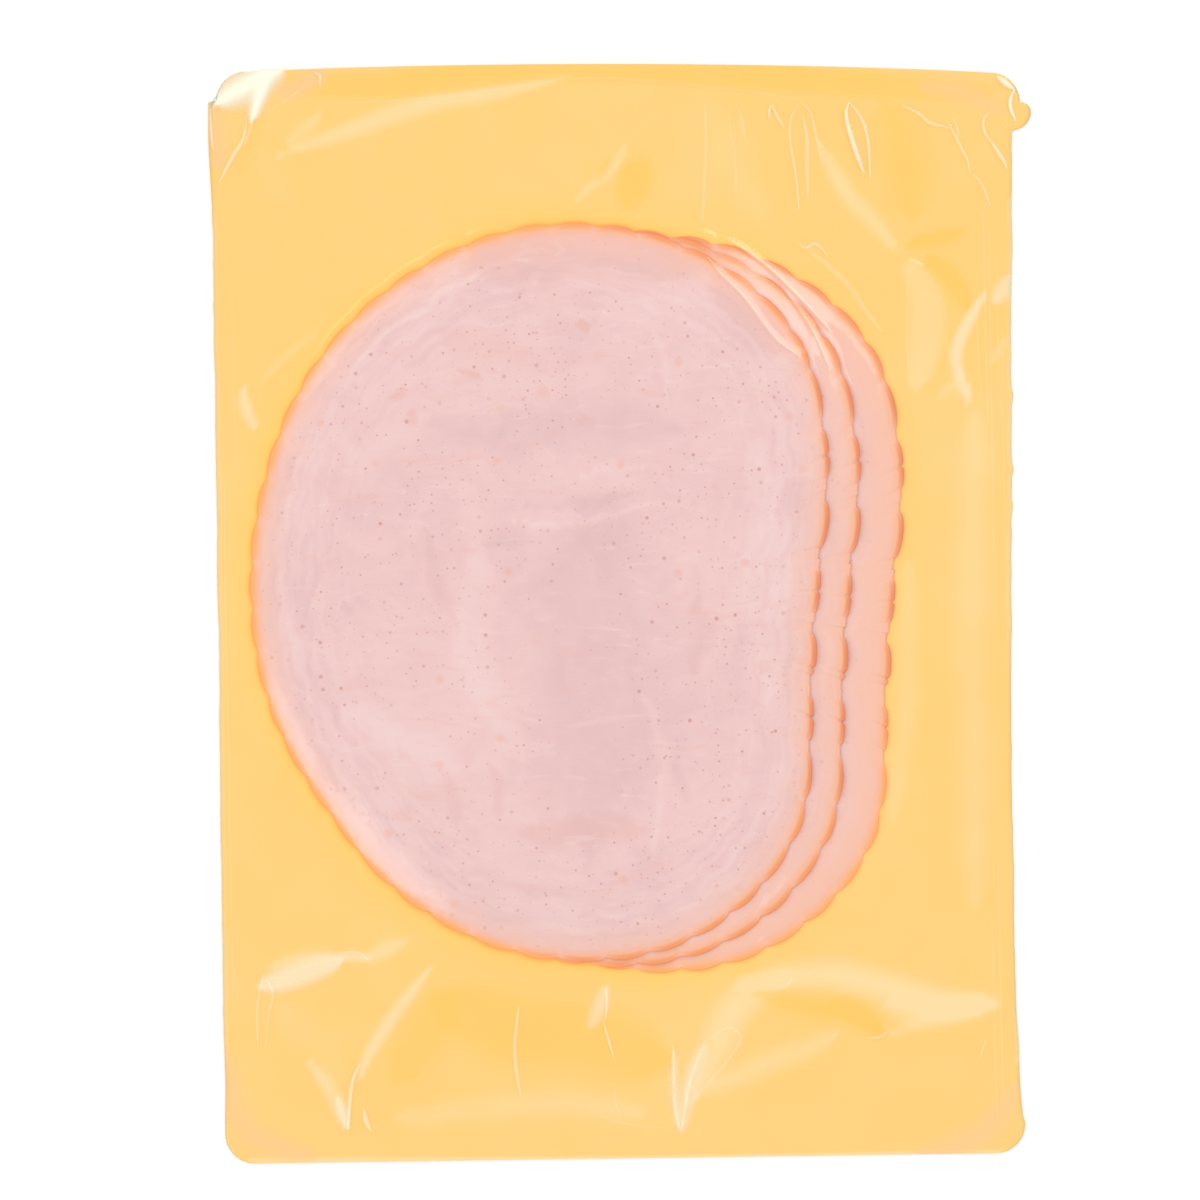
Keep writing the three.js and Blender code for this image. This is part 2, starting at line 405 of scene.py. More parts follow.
def squeeze(x, y):
    # the film presses the stack down towards its outline: every height over the backing is multiplied
    # by this, so that no height is more than the allowed one
    inside = np.full(np.shape(x), -50.0)
    for name in sliceNames:
        inside = np.maximum(inside, -outside(name, x, y)[0])
    allowed = ham["edgeHeight"] + ham["edgeSlope"] * np.maximum(inside, 0)
    ratio = allowed / np.maximum(filmLift(x, y), 0.01)
    depth, width = ham["edgeBlend"]
    return np.minimum(ratio, 1) - depth * np.exp(-(((ratio - 1) / width) ** 2))


def sag(x, y):
    # the slices' faces and the film on them aren't quite flat
    uneven = 1
    for share, size, seed in ham["sagDrifts"]:
        uneven = uneven + share * drift(x, y, size, seed)
    return -ham["sag"] * uneven


# ---- soft zones and folds of the clear film, each drawn on the photo

# tone: painted reflection of the film on the backing: below 0 deeper where the films cling together and
# mirror little, above 0 paler where the film's swells and bands mirror the lamps;
# blush: how much pinker it is; rise: how high the film stands there, in mm; veil: how strong a painted
# white highlight is there
zones = {
    "top seal": brush(38, [(262, 84), (400, 84), (560, 66), (700, 72), (860, 84), (985, 92)],
                      tone=-0.8, taper=0.15, flat=0.5),
    # the corner's white is a painted highlight; the film is not raised there
    "painted corner highlight": brush(56, [(216, 103), (238, 90), (260, 78), (284, 66)], veil=0.95, taper=0.35),
    "painted corner finger": brush(26, [(268, 62), (262, 88), (257, 104), (252, 120)], veil=0.95, taper=0.3),
    "corner shade": brush(40, [(276, 92), (300, 86), (326, 72)], blush=0.9, tone=0.4, taper=0.3),
    "corner shade left": brush(40, [(212, 104), (216, 130), (220, 166)], blush=0.9, taper=0.3),
    "corner fan": brush(26, [(262, 112), (252, 140), (238, 175)], tone=-0.4, taper=0.4),
    "top left band": brush(36, [(276, 156), (345, 132), (424, 104), (500, 90), (575, 74)],
                           tone=0.85, rise=0.22, taper=0.55),
    "top left patch": brush(26, [(284, 146), (302, 132), (322, 112)], tone=0.55, rise=0.25, taper=0.5),
    "left fan": brush(60, [(262, 150), (272, 180), (300, 205)], tone=0.15, taper=0.4),
    "middle cling": brush(44, [(643, 160), (634, 182), (626, 206)], tone=-0.9, taper=0.35, flat=0.55),
    "middle cling small": brush(13, [(609, 156), (602, 172), (596, 184)], tone=-0.6, taper=0.5),
    "middle streak": brush(17, [(574, 206), (588, 188), (612, 170), (626, 146)],
                           tone=0.7, rise=0.2, taper=0.6),
    "upper right field": brush(70, [(715, 110), (735, 160), (760, 215)], tone=0.2, taper=0.2),
    "right of the leaves": brush(90, [(885, 105), (905, 150), (912, 215)], tone=-0.7, taper=0.3),
    "top right corner": brush(40, [(920, 86), (965, 92), (1004, 112)], blush=0.7, taper=0.3),
    "diagonal": brush(30, [(818, 144), (848, 194), (875, 223), (898, 252)],
                      tone=0.85, rise=0.25, taper=0.5),
    "dark corner": brush(24, [(908, 244), (940, 238), (966, 231)], tone=-1.2, taper=0.4, flat=0.2),
    "dark bank": brush(30, [(922, 256), (950, 276), (968, 308)], tone=-1.2, taper=0.5, flat=0.2),
    "pale pane": brush(50, [(908, 262), (926, 300), (926, 345), (915, 386)],
                       tone=0.6, rise=0.4, taper=0.35, flat=0.4),
    "crescent": brush(20, [(986, 292), (968, 322), (956, 352), (960, 378), (970, 402)],
                      tone=1.15, veil=0.2, rise=0.4, taper=0.45, flat=0.15),
    "crescent foot": brush(20, [(938, 394), (955, 386), (972, 388)], tone=0.5, taper=0.5),
    "edge patch": brush(28, [(992, 304), (1002, 292), (1011, 276)],
                        tone=1.0, veil=0.2, rise=0.25, taper=0.5, flat=0.1),
    "edge patch low": brush(20, [(988, 366), (998, 352), (1006, 338)], tone=0.5, taper=0.5),
    "left patch": brush(18, [(243, 388), (246, 408), (256, 430)],
                        tone=0.9, veil=0.15, rise=0.3, taper=0.4, flat=0.2),
    "left streak": brush(16, [(256, 392), (280, 362), (320, 330)], tone=0.4, rise=0.2, taper=0.6),
    "left cling": brush(12, [(260, 395), (272, 380), (292, 366)], tone=-0.4, taper=0.6),
    "bottom left pane": brush(36, [(262, 986), (288, 978), (316, 968), (340, 960)],
                              tone=1.0, veil=0.38, rise=0.25, taper=0.25, flat=0.25),
    "bottom left top": brush(22, [(268, 968), (300, 958), (336, 954)], tone=0.8, taper=0.3),
    "bottom left lobe": brush(17, [(336, 959), (352, 956), (372, 959)],
                              tone=1.1, veil=0.14, rise=0.2, taper=0.4, flat=0.2),
    "bottom left tail": brush(30, [(366, 962), (384, 950), (406, 940)], tone=0.8, rise=0.2, taper=0.45),
    "bottom left field": brush(80, [(280, 1010), (330, 1050), (330, 1090)], tone=0.25, taper=0.3),
    "long ridge": brush(24, [(430, 968), (404, 1002), (384, 1030), (368, 1056), (358, 1082)],
                        tone=0.9, veil=0.12, rise=0.3, taper=0.5),
    "foot flare": brush(26, [(308, 1060), (326, 1084), (338, 1106), (345, 1127)],
                        tone=0.7, veil=0.12, rise=0.15, taper=0.6),
    "foot fill": brush(17, [(337, 1096), (342, 1110), (348, 1129)], tone=0.8, veil=0.4, taper=0.5),
    "bottom cling": brush(80, [(396, 1080), (420, 1040), (450, 1000)], tone=-0.55, taper=0.3, flat=0.2),
    "bottom middle cling": brush(110, [(440, 1000), (520, 1030), (580, 1035), (660, 1060)],
                                 tone=-0.75, taper=0.25, flat=0.3),
    "bottom seal": brush(44, [(400, 1118), (480, 1108), (560, 1104), (640, 1112)],
                         tone=0.4, taper=0.2, flat=0.1),
    "sail": brush(28, [(607, 986), (600, 1006), (590, 1028)], tone=0.9, veil=0.28, rise=0.2, taper=0.5),
    "fan field": brush(56, [(690, 1100), (714, 1050), (740, 1004), (790, 975)],
                       tone=0.85, rise=0.35, taper=0.4, flat=0.1),
    "fan heart": brush(30, [(681, 1132), (686, 1104), (694, 1072), (706, 1044)],
                       tone=0.8, veil=0.26, taper=0.5),
    "fan left leaf": brush(15, [(680, 1131), (675, 1098), (674, 1050)], tone=0.8, veil=0.24, taper=0.5),
    "right band": brush(54, [(735, 984), (824, 974), (898, 990), (950, 1003), (992, 1004)],
                        tone=0.95, rise=0.3, taper=0.35),
    "right band end": brush(52, [(886, 1006), (935, 1010), (996, 1002)], tone=0.7, taper=0.25),
    "right band foot": brush(26, [(884, 1036), (930, 1020), (984, 1010)], tone=0.6, taper=0.5),
    "lower band": brush(46, [(706, 1090), (760, 1066), (800, 1052), (836, 1034)],
                        tone=0.65, rise=0.2, taper=0.35),
    "dark lens": brush(42, [(752, 990), (806, 1006), (846, 1012), (886, 1036)], tone=-0.95, taper=0.5),
    "dark lens heart": brush(34, [(828, 1004), (858, 1012), (882, 1034)], tone=-0.7, taper=0.5, flat=0.2),
    "left corner": brush(46, [(222, 1050), (234, 1108), (260, 1140), (316, 1156)], blush=0.8, taper=0.3),
    "right corner": brush(48, [(915, 1158), (978, 1136), (1020, 1086)], blush=0.8, tone=0.3, taper=0.3),
    "bottom cut": brush(10, [(250, 1160), (620, 1159), (1000, 1152)], tone=0.8, taper=0.1, flat=0.3),
    "left cut": brush(9, [(214, 200), (217, 600), (224, 1060)], tone=0.8, taper=0.1, flat=0.3),
    "right cut": brush(10, [(1013, 200), (1014, 620), (1019, 1060)], tone=1.0, taper=0.1, flat=0.3),
    "right of the slices": brush(44, [(908, 560), (906, 700), (892, 820)], tone=0.4, taper=0.3),
    "right column": brush(64, [(975, 420), (972, 600), (975, 900)], tone=0.42, taper=0.2),
}

# creases: thin painted white highlight lines with a little real height
folds = {
    "corner crease": brush(6, [(247, 122), (243, 140), (234, 155), (219, 183)], rise=0.4, veil=0.75),
    "corner crease in": brush(5, [(254, 118), (250, 130), (244, 146)], rise=0.2, veil=0.35),
    "corner ray": brush(4, [(266, 113), (290, 98), (314, 80)], rise=0.15, veil=0.25),
    "corner leaf": brush(4, [(313, 72), (320, 76), (319, 85)], rise=0.3, veil=0.7),
    "left edge curl": brush(5, [(210, 104), (211, 125), (213, 150)], rise=0.3, veil=0.6),
    "seal line": brush(4, [(330, 104), (430, 98), (520, 86), (600, 78), (720, 88), (800, 99)],
                       rise=0.08, veil=0.1, taper=0.2),
    "tall line one": brush(6, [(705, 103), (706, 150), (702, 222)], rise=0.15, veil=0.22, taper=0.3),
    "tall line two": brush(4, [(729, 109), (731, 137), (735, 160), (736, 212)],
                           rise=0.15, veil=0.15, taper=0.4),
    "small leaf": brush(8, [(737, 105), (741, 118), (745, 142)], rise=0.2, veil=0.18),
    "hook left": brush(4, [(773, 103), (769, 111), (770, 121)], rise=0.3, veil=0.7),
    "hook right": brush(4, [(772, 104), (776, 114), (784, 128)], rise=0.3, veil=0.7),
    "tall leaf left": brush(4, [(799, 104), (791, 118), (790, 140), (796, 178), (799, 212)],
                            rise=0.25, veil=0.45, taper=0.4),
    "tall leaf middle": brush(7, [(803, 116), (807, 140), (807, 170), (808, 200)],
                              rise=0.2, veil=0.4, taper=0.5),
    "tall leaf right": brush(4, [(801, 103), (810, 112), (816, 136), (822, 162)],
                             rise=0.25, veil=0.4, taper=0.4),
    "bright leaf left": brush(7, [(849, 102), (846, 116), (852, 140), (864, 174)],
                              rise=0.45, veil=1.1, taper=0.5),
    "bright leaf right": brush(4, [(850, 103), (861, 118), (868, 142), (870, 178)],
                               rise=0.4, veil=0.8, taper=0.4),
    "tick line": brush(5, [(903, 106), (919, 114), (930, 123), (950, 128)], rise=0.3, veil=0.6),
    "tick line down": brush(4, [(949, 124), (960, 146), (967, 160), (970, 173)], rise=0.3, veil=0.6),
    "tick one": brush(4, [(952, 118), (957, 128), (958, 140)], rise=0.2, veil=0.4),
    "tick line foot": brush(4, [(972, 174), (980, 182), (986, 194), (990, 208)], rise=0.25, veil=0.5),
    "corner hook": brush(4, [(990, 112), (984, 118), (984, 131), (992, 143)], rise=0.3, veil=0.7),
    "corner hook down": brush(6, [(990, 140), (998, 152), (1004, 162), (1007, 169)], rise=0.15, veil=0.8),
    "right corner crease": brush(8, [(996, 76), (1007, 85), (1018, 91)], rise=0.5, veil=1.2),
    "right corner drop": brush(6, [(1015, 88), (1010, 100), (1011, 110), (1016, 121)],
                               rise=0.5, veil=1.2),
    "ridge foot": brush(4, [(797, 243), (806, 248), (816, 244), (828, 256)], rise=0.2, veil=0.55),
    "ridge": brush(9, [(806, 248), (832, 270), (852, 290), (866, 312), (882, 332)],
                   rise=0.25, veil=0.22, taper=0.4),
    "pane edge": brush(3, [(908, 262), (907, 320), (908, 384)], rise=0.1, veil=0.12, taper=0.3),
    "tension one": brush(5, [(727, 238), (745, 250), (772, 270), (802, 300), (832, 333)],
                         rise=0.22, veil=0.55, taper=0.5),
    "tension two": brush(5, [(708, 258), (722, 276), (744, 298), (774, 338), (800, 358)],
                         rise=0.2, veil=0.42, taper=0.5),
    "tension three": brush(5, [(782, 286), (812, 330), (830, 372)], rise=0.15, veil=0.32, taper=0.6),
    "left leaf": brush(4, [(264, 975), (259, 996), (257, 1020), (258, 1048)],
                       rise=0.25, veil=0.35, taper=0.4),
    "left leaf in": brush(4, [(266, 977), (273, 994), (268, 1018), (266, 1046)],
                          rise=0.2, veil=0.25, taper=0.4),
    "lobe rim": brush(3, [(340, 953), (358, 952), (369, 961)], rise=0.1, veil=0.3, taper=0.4),
    "long ridge foot": brush(6, [(360, 1064), (353, 1080), (350, 1100), (348, 1130)],
                             rise=0.45, veil=0.7, taper=0.4),
    "foot leaf": brush(8, [(364, 1108), (366, 1120), (371, 1131)], rise=0.35, veil=0.7),
    "upright line": brush(6, [(519, 1006), (515, 1040), (516, 1068), (521, 1096)],
                          rise=0.25, veil=0.5, taper=0.45),
    "sail edge": brush(3, [(606, 988), (607, 1004), (605, 1020)], rise=0.2, veil=0.5, taper=0.4),
    "sail line": brush(4, [(603, 1020), (608, 1038), (614, 1058)], rise=0.25, veil=0.6),
    "fan left": brush(6, [(673, 1044), (674, 1084), (675, 1108), (680, 1131)],
                      rise=0.4, veil=0.35, taper=0.4),
    "fan right": brush(6, [(704, 1042), (690, 1080), (685, 1108), (681, 1131)],
                       rise=0.4, veil=0.35, taper=0.4),
    "fan leaf": brush(4, [(704, 1042), (728, 1027), (740, 1040), (722, 1067), (694, 1098)],
                      rise=0.2, veil=0.3, taper=0.3),
    "seal dent one": brush(5, [(574, 1106), (580, 1112), (586, 1118)], rise=0.15),
    "seal dent two": brush(3, [(598, 1112), (606, 1118), (640, 1126), (666, 1127)],
                           rise=0.12, veil=0.15, taper=0.3),
    "seal leaf": brush(4, [(616, 1087), (615, 1100), (622, 1124)], rise=0.15, veil=0.22, taper=0.4),
    "lens tip": brush(4, [(868, 1038), (878, 1037), (890, 1030)], rise=0.2, veil=0.45),
    "right tick": brush(3, [(986, 1040), (982, 1050), (979, 1058)], rise=0.15, veil=0.4),
}

# seal ribs: faint straight painted highlight lines along the left and right sides, barely raised
ribs = [
    brush(3, [(u, v0), (u + 2, (v0 + v1) / 2), (u + 5, v1)], rise=0.05, veil=veil, taper=0.15)
    for u, v0, v1, veil in [
        (976, 300, 400, 0.14), (983, 210, 420, 0.16), (989, 230, 560, 0.12), (996, 260, 420, 0.12),
        (1002, 330, 640, 0.1), (998, 860, 1090, 0.16), (992, 920, 1120, 0.12), (224, 480, 760, 0.14),
        (232, 300, 470, 0.1), (229, 760, 1010, 0.14),
    ]
]
lines = [*folds.values(), *ribs]


def summed(x, y, strokes, key):
    total = np.zeros(x.shape)
    for stroke in strokes:
        if stroke.get(key):
            total += stroke[key] * strokeOver(x, y, stroke)
    return total


def strongest(x, y, strokes, key):
    most = np.zeros(x.shape)
    for stroke in strokes:
        if stroke.get(key):
            most = np.maximum(most, stroke[key] * strokeOver(x, y, stroke))
    return most


crease = {
    "sets": 4,  # neighbouring creases are kept in different sets, so that each keeps its own sides
    "most": 3.0,  # the largest distance kept, in half widths
    "paintedWhiteReach": 0.75,  # how far past its edge a crease's painted white highlight is kept, in mm
    "reach": 1.6,  # and how far past it the distance is kept
}


def creaseFields(x, y, strokes):
    # where each point lies across the nearest crease, from -1 at its left edge to 1 at its right one,
    # and how strong that crease's painted white highlight is, 0 away from it. The material draws the
    # painted line from these two, much finer than the grid
    across = np.full(x.shape, crease["most"])
    white = np.zeros(x.shape)
    nearest = np.full(x.shape, np.inf)
    for stroke in strokes:
        if not stroke.get("veil"):
            continue
        px, py, half = pathOf(stroke)
        reach = half + crease["reach"]
        box = boxAround(x, y, px, py, reach)
        best, side, where = nearestOn(x[box], y[box], px, py)
        room = half * np.sin(np.pi * np.clip(where, 0.02, 0.98)) ** stroke["taper"]
        nearer = (best < reach) & (best < nearest[box])
        place = side * np.minimum(best / room, crease["most"])
        whole = (best < half + crease["paintedWhiteReach"]) & (where > 0.001) & (where < 0.999)
        across[box] = np.where(nearer, place, across[box])
        white[box] = np.where(nearer, np.where(whole, stroke["veil"], 0), white[box])
        nearest[box] = np.where(nearer, best, nearest[box])
    return across, white


# ---- the yellow backing film

backing = {
    "thickness": 0.3,
    "rows": 181,
    "columns": 141,
    "warmth": 0.85,  # how strong the painted orange glow and shade round the slices is
    "rimGlowReach": 2.2,
    "rimGlowLoss": (0.8, 0.75),  # how much of it is lost right of them, and from what cosine of the direction
    "drifts": ((0.10, 24, 21), (0.08, 9, 22)),  # unevenness of its tone: strength, size in mm, seed
}


def buildBacking():
    # a level sheet. Its fields say how deep or pale the yellow is, partly as painted reflection of the
    # film, and how strong a painted orange glow and shade is, by how close the slices are
    plain = np.ones_like
    x, y = filmSheet(backing["rows"], backing["columns"], plain, plain)
    top = np.full(x.shape, backing["thickness"])
    piece = closedSheet("backing_film_skin", x, y, top, 0 * x)
    tone = summed(x, y, zones.values(), "tone")
    for strength, size, seed in backing["drifts"]:
        tone = tone + strength * drift(x, y, size, seed)
    near = np.full(x.shape, 99.0)
    for name in sliceNames:
        past, angle = outside(name, x, y)
        near = np.minimum(near, past + rimCut(angle)[0])
    # the painted orange glow and shade round the slices is stronger above, below and left of them
    _, turned = outside("slice_bottom", x, y)
    paintedRimGlow = backing["warmth"] * np.exp(-np.clip(near, 0, 40) / backing["rimGlowReach"])
    loss, whole = backing["rimGlowLoss"]
    paintedRimGlow *= 1 - loss * ease(np.cos(turned) / whole)
    blush = summed(x, y, zones.values(), "blush")
    for field, values in (("tone", tone), ("paintedRimGlow", paintedRimGlow), ("blush", blush)):
        addField(piece, field, np.concatenate([values.ravel(), 0 * values.ravel()]))
    return piece


backingPiece = buildBacking()
print("backing film built")

# ---- the slices

cut = {
    "directions": (320, 520),  # along the straight side and round the rest
    "faceRings": {"slice_top": 92, "slice_middle": 46, "slice_bottom": 46},
    "roundRings": 5,
    "underRings": 9,
    "crowding": 1.5,  # power by which the rings crowd towards the rim
    "blend": (0.9, 0.1),  # past this share of the radius the rings take up the scallops, over this one
    "clearance": 0.02,  # between a slice and what it lies on
    "wander": ((1.5, 5.5), (0.5, 2.1)),  # how far the fields' edges wander, over what size, in mm
    "paintedShadeSide": (25.0, 0.35, 0.5, 0.85),  # painted shade: direction in degrees, and where and how much rims darken there
    "roundShare": 0.4,  # the least of the painted light off the straight side
    "roundFrom": (0.12, 0.2),  # how far past the straight side it starts, and grows, in radians
    "freeFrom": (3, 0.8),  # the painted light grows over this width, of which this share lies on another slice
}

# fields of the top slice's face, drawn on the photo. shade: above 0 greyer and darker, below 0 paler;
# blush: warmer
meatFields = {
    "core": brush(230, [(604, 500), (592, 600), (600, 700), (588, 850)], shade=0.75, taper=0.5),
    "upper field": brush(84, [(432, 428), (520, 432), (600, 422), (680, 428)], shade=0.6, taper=0.4),
    "streak one": brush(17, [(517, 507), (570, 502), (640, 490)], shade=0.75),
    "streak two": brush(16, [(480, 541), (520, 536), (572, 537)], shade=0.52),
    "streak three": brush(20, [(423, 520), (434, 560), (446, 600), (455, 640)], shade=0.5, blush=0.2),
    "right field": brush(38, [(702, 590), (700, 630), (690, 678)], shade=0.52, blush=0.15),
    "low streak one": brush(20, [(440, 765), (452, 795), (454, 825)], shade=0.42, blush=0.2),
    "low streak two": brush(20, [(488, 756), (494, 786), (502, 816)], shade=0.45, blush=0.2),
    "low field": brush(38, [(520, 826), (585, 832), (655, 826)], shade=0.38, blush=0.4, flat=0.3),
    "left dot": brush(20, [(348, 600), (352, 608), (357, 618)], shade=0.68),
    "low right streak": brush(18, [(674, 748), (682, 775), (690, 802)], shade=0.52),
    "left pale": brush(70, [(350, 500), (375, 455), (430, 425)], shade=-0.35, taper=0.3),
    "long pale": brush(54, [(462, 480), (478, 560), (466, 640), (500, 712), (524, 764)],
                       shade=-0.42, taper=0.35, flat=0.2),
    "right pale": brush(56, [(762, 440), (766, 560), (764, 700)], shade=-0.4, taper=0.3, flat=0.2),
    "pale vein one": brush(13, [(508, 526), (580, 520), (640, 510), (692, 503)], shade=-0.8),
    "pale vein two": brush(16, [(575, 478), (610, 466), (650, 462)], shade=-0.6),
    "pale vein three": brush(15, [(655, 332), (662, 365), (668, 402)], shade=-0.5),
    "pale vein four": brush(20, [(640, 684), (660, 730), (664, 790), (655, 862)], shade=-0.6),
    "low pale": brush(70, [(345, 705), (400, 735), (455, 770)], shade=-0.4, taper=0.3),
    # the arcs follow the rims of the slices below: partly streaks in the meat, partly painted shade and
    # light of those rims pressing through
    "arc one": brush(9, [(352, 368), (380, 342), (415, 312), (465, 280), (540, 254)], shade=-1),
    "arc two": brush(8, [(306, 392), (335, 350), (380, 308), (432, 272), (482, 250)], shade=-0.7),
    "arc three": brush(12, [(332, 740), (318, 690), (310, 620), (316, 540), (330, 470)],
                       shade=0.45, taper=0.4),
    "arc four": brush(11, [(300, 700), (284, 640), (282, 560), (292, 490), (318, 420)],
                      shade=-0.3, taper=0.4),
    "top warm": brush(120, [(470, 262), (540, 250), (620, 248), (700, 268)],
                      shade=0.5, blush=0.6, taper=0.3),
    "top right warm": brush(100, [(715, 275), (762, 308), (800, 362)], shade=0.5, blush=0.6, taper=0.35),
    "upper blush": brush(60, [(430, 330), (475, 350), (525, 352)], blush=0.3),
    "spot one": brush(22, [(402, 412), (410, 420), (418, 430)], shade=0.3, blush=0.6),
    "spot two": brush(14, [(384, 398), (392, 394), (402, 390)], blush=0.8),
    "spot three": brush(12, [(452, 374), (466, 376), (484, 378)], shade=0.45, blush=0.8),
    "spot four": brush(14, [(582, 428), (590, 426), (600, 427)], shade=0.6, blush=0.6),
    "spot five": brush(11, [(581, 325), (587, 325), (595, 327)], shade=1.65, blush=1.0, flat=0.4),
    "spot six": brush(12, [(488, 408), (496, 405), (504, 407)], blush=0.7),
    "spot seven": brush(11, [(534, 394), (542, 390), (552, 391)], blush=0.7),
}


def buildSlice(name):
    # the face runs out from its middle to the rounded rim, in rings that crowd towards the rim, and
    # the underside runs back. Every ring follows the scalloped outline, less so towards the middle
    start, end = ham["straight"]
    along, around = cut["directions"]
    angle = np.concatenate([
        np.linspace(start, end, along, endpoint=False),
        np.linspace(end, start + fullTurn, around, endpoint=False),
    ])
    inward, crest = rimCut(angle)
    radius = plainRadius(angle) - inward
    r = ham["rimRound"]
    t = np.linspace(0, 1, cut["faceRings"][name] + 1)[1:]
    share = 1 - (1 - t) ** cut["crowding"]
    bend = np.linspace(0, np.pi / 2, cut["roundRings"] + 1)[1:]
    # each ring: share of the flat part's radius, way in from the rim, height below the face, side
    rings = [(s, r, 0.0, 1) for s in share]
    rings += [(1, r - r * math.sin(b), r - r * math.cos(b), 1) for b in bend]
    rings += [(1, r - r * math.cos(b), r - r * math.sin(b), 0) for b in bend[:-1]]
    rings += [(1, r, 0.0, 0)]
    rings += [(s, r, 0.0, 0) for s in np.linspace(1, 0, cut["underRings"] + 1)[1:-1]]
    s, inset, down, upper = (np.array(column, float)[:, None] for column in zip(*rings))
    plain = plainRadius(angle) - ham["depth"][0]
    blendFrom, blendWidth = cut["blend"]
    blend = ease((s - blendFrom) / blendWidth)
    distance = s * ((1 - blend) * (plain - r) + blend * (radius - inset))
    distance = np.where(s == 1, radius - inset, distance)
    cx, cy = centreOf(name)
    x, y = cx + distance * np.cos(angle), cy + distance * np.sin(angle)
    floor = backing["thickness"] + ham["gap"] + liftOver(below(name), x, y)
    # the underside reaches down to the slice below, and the film has pressed the rim down
    foot = floor - ham["gap"] + cut["clearance"]
    face = floor + ham["thickness"] + sag(x, y) - rimSink(radius - distance, crest)
    z = np.where(upper == 1, face - down, foot + 0.5 * down)
    z = backing["thickness"] + (z - backing["thickness"]) * squeeze(x, y)
    middle = [(cx, cy, float(liftOver(below(name), cx, cy)) + h) for h in (
        backing["thickness"] + ham["gap"] + ham["thickness"] + float(sag(np.array(cx), np.array(cy))),
        backing["thickness"] + cut["clearance"],
    )]
    points = np.vstack([np.stack([x, y, z], -1).reshape(-1, 3), middle])
    count, n = len(rings), along + around
    i, j = np.mgrid[0 : count - 1, 0:n]
    a, b = i * n + j, i * n + (j + 1) % n
    faces = np.stack([a, a + n, b + n, b], -1).reshape(-1, 4).tolist()
    j = np.arange(n)
    last = (count - 1) * n
    faces += np.stack([np.full(n, count * n), j, (j + 1) % n], -1).tolist()
    faces += np.stack([np.full(n, count * n + 1), last + (j + 1) % n, last + j], -1).tolist()
    piece = meshFrom(name + "_meat", points, faces)
    fromRim = np.where(upper == 1, radius - distance, 0.0)
    shade, blush = 0 * x, 0 * x
    if name == "slice_top":
        wx, wy = x, y
        for k, (far, size) in enumerate(cut["wander"]):
            wx = wx + far * drift(x, y, size, 41 + 2 * k)
            wy = wy + far * drift(x, y, size, 42 + 2 * k)
        shade = summed(wx, wy, meatFields.values(), "shade")
        blush = summed(wx, wy, meatFields.values(), "blush")
    addField(piece, "fromRim", np.append(fromRim.ravel(), [50, 50]))
    # painted light on the rim: 1 where it lies on the backing, brighter and glowing, 0 where it lies on
    # other slices, in painted shade
    free = np.ones(x.shape)
    reach, share = cut["freeFrom"]
    for other in below(name):
        free *= ease(outside(other, x, y)[0] / reach + share)
    # painted shade: its rim is darker up on the right, and the straight side's beads are darkest
    toward, low, width, loss = cut["paintedShadeSide"]
    free *= 1 - loss * ease((np.cos(angle - math.radians(toward)) - low) / width)
    turned = np.mod(angle - start, fullTurn)
    first, grow = cut["roundFrom"]
    roundSide = ease((turned - end + start - first) / grow) * ease((fullTurn - turned) / grow)
    free = np.maximum(free, cut["roundShare"] * roundSide)
    addField(piece, "free", np.append(free.ravel(), [0, 0]))
    addField(piece, "crest", np.append(np.broadcast_to(crest, x.shape).ravel(), [0.6, 0.6]))
    addField(piece, "shade", np.append(shade.ravel(), shade[0, 0] * np.ones(2)))
    addField(piece, "blush", np.append(blush.ravel(), blush[0, 0] * np.ones(2)))
    return piece


slicePieces = {name: buildSlice(name) for name in sliceNames}
print("slices built")

# ---- the clear film

clear = {
    "rows": 318,
    "columns": 282,
    "thickness": 0.1,
    "clearance": 0.03,
    "pressed": 0.2,  # its underside is this far inside what it clings to
    "every": 6,  # the underside is this much coarser than the face
    # the grid is finer over the folds at both ends, and at the straight rims: from where to where,
    # and its spacing there and elsewhere
    "fineRows": (-60, 32, 0.46, 1.25),
    "fineColumns": (12, 54, 0.36, 0.66),
    "settle": (2, 0.25),  # the folds grow over this width from the cuts, from this share of it on
    "pressWidth": 4,  # over this width from the cuts its underside is pressed further in
    "calm": ((0.06, 12, 31), (0.05, 5, 32)),  # how it lies unevenly: height and size in mm, seed
}


def neighbourLow(z, reach):
    # the lowest height near each point of a grid
    low = z.copy()
    for axis in (0, 1):
        padded = np.pad(low, [(reach, reach) if a == axis else (0, 0) for a in (0, 1)], mode="edge")
        parts = [np.take(padded, np.arange(k, k + z.shape[axis]), axis) for k in range(2 * reach + 1)]
        low = np.min(parts, axis=0)
    return low


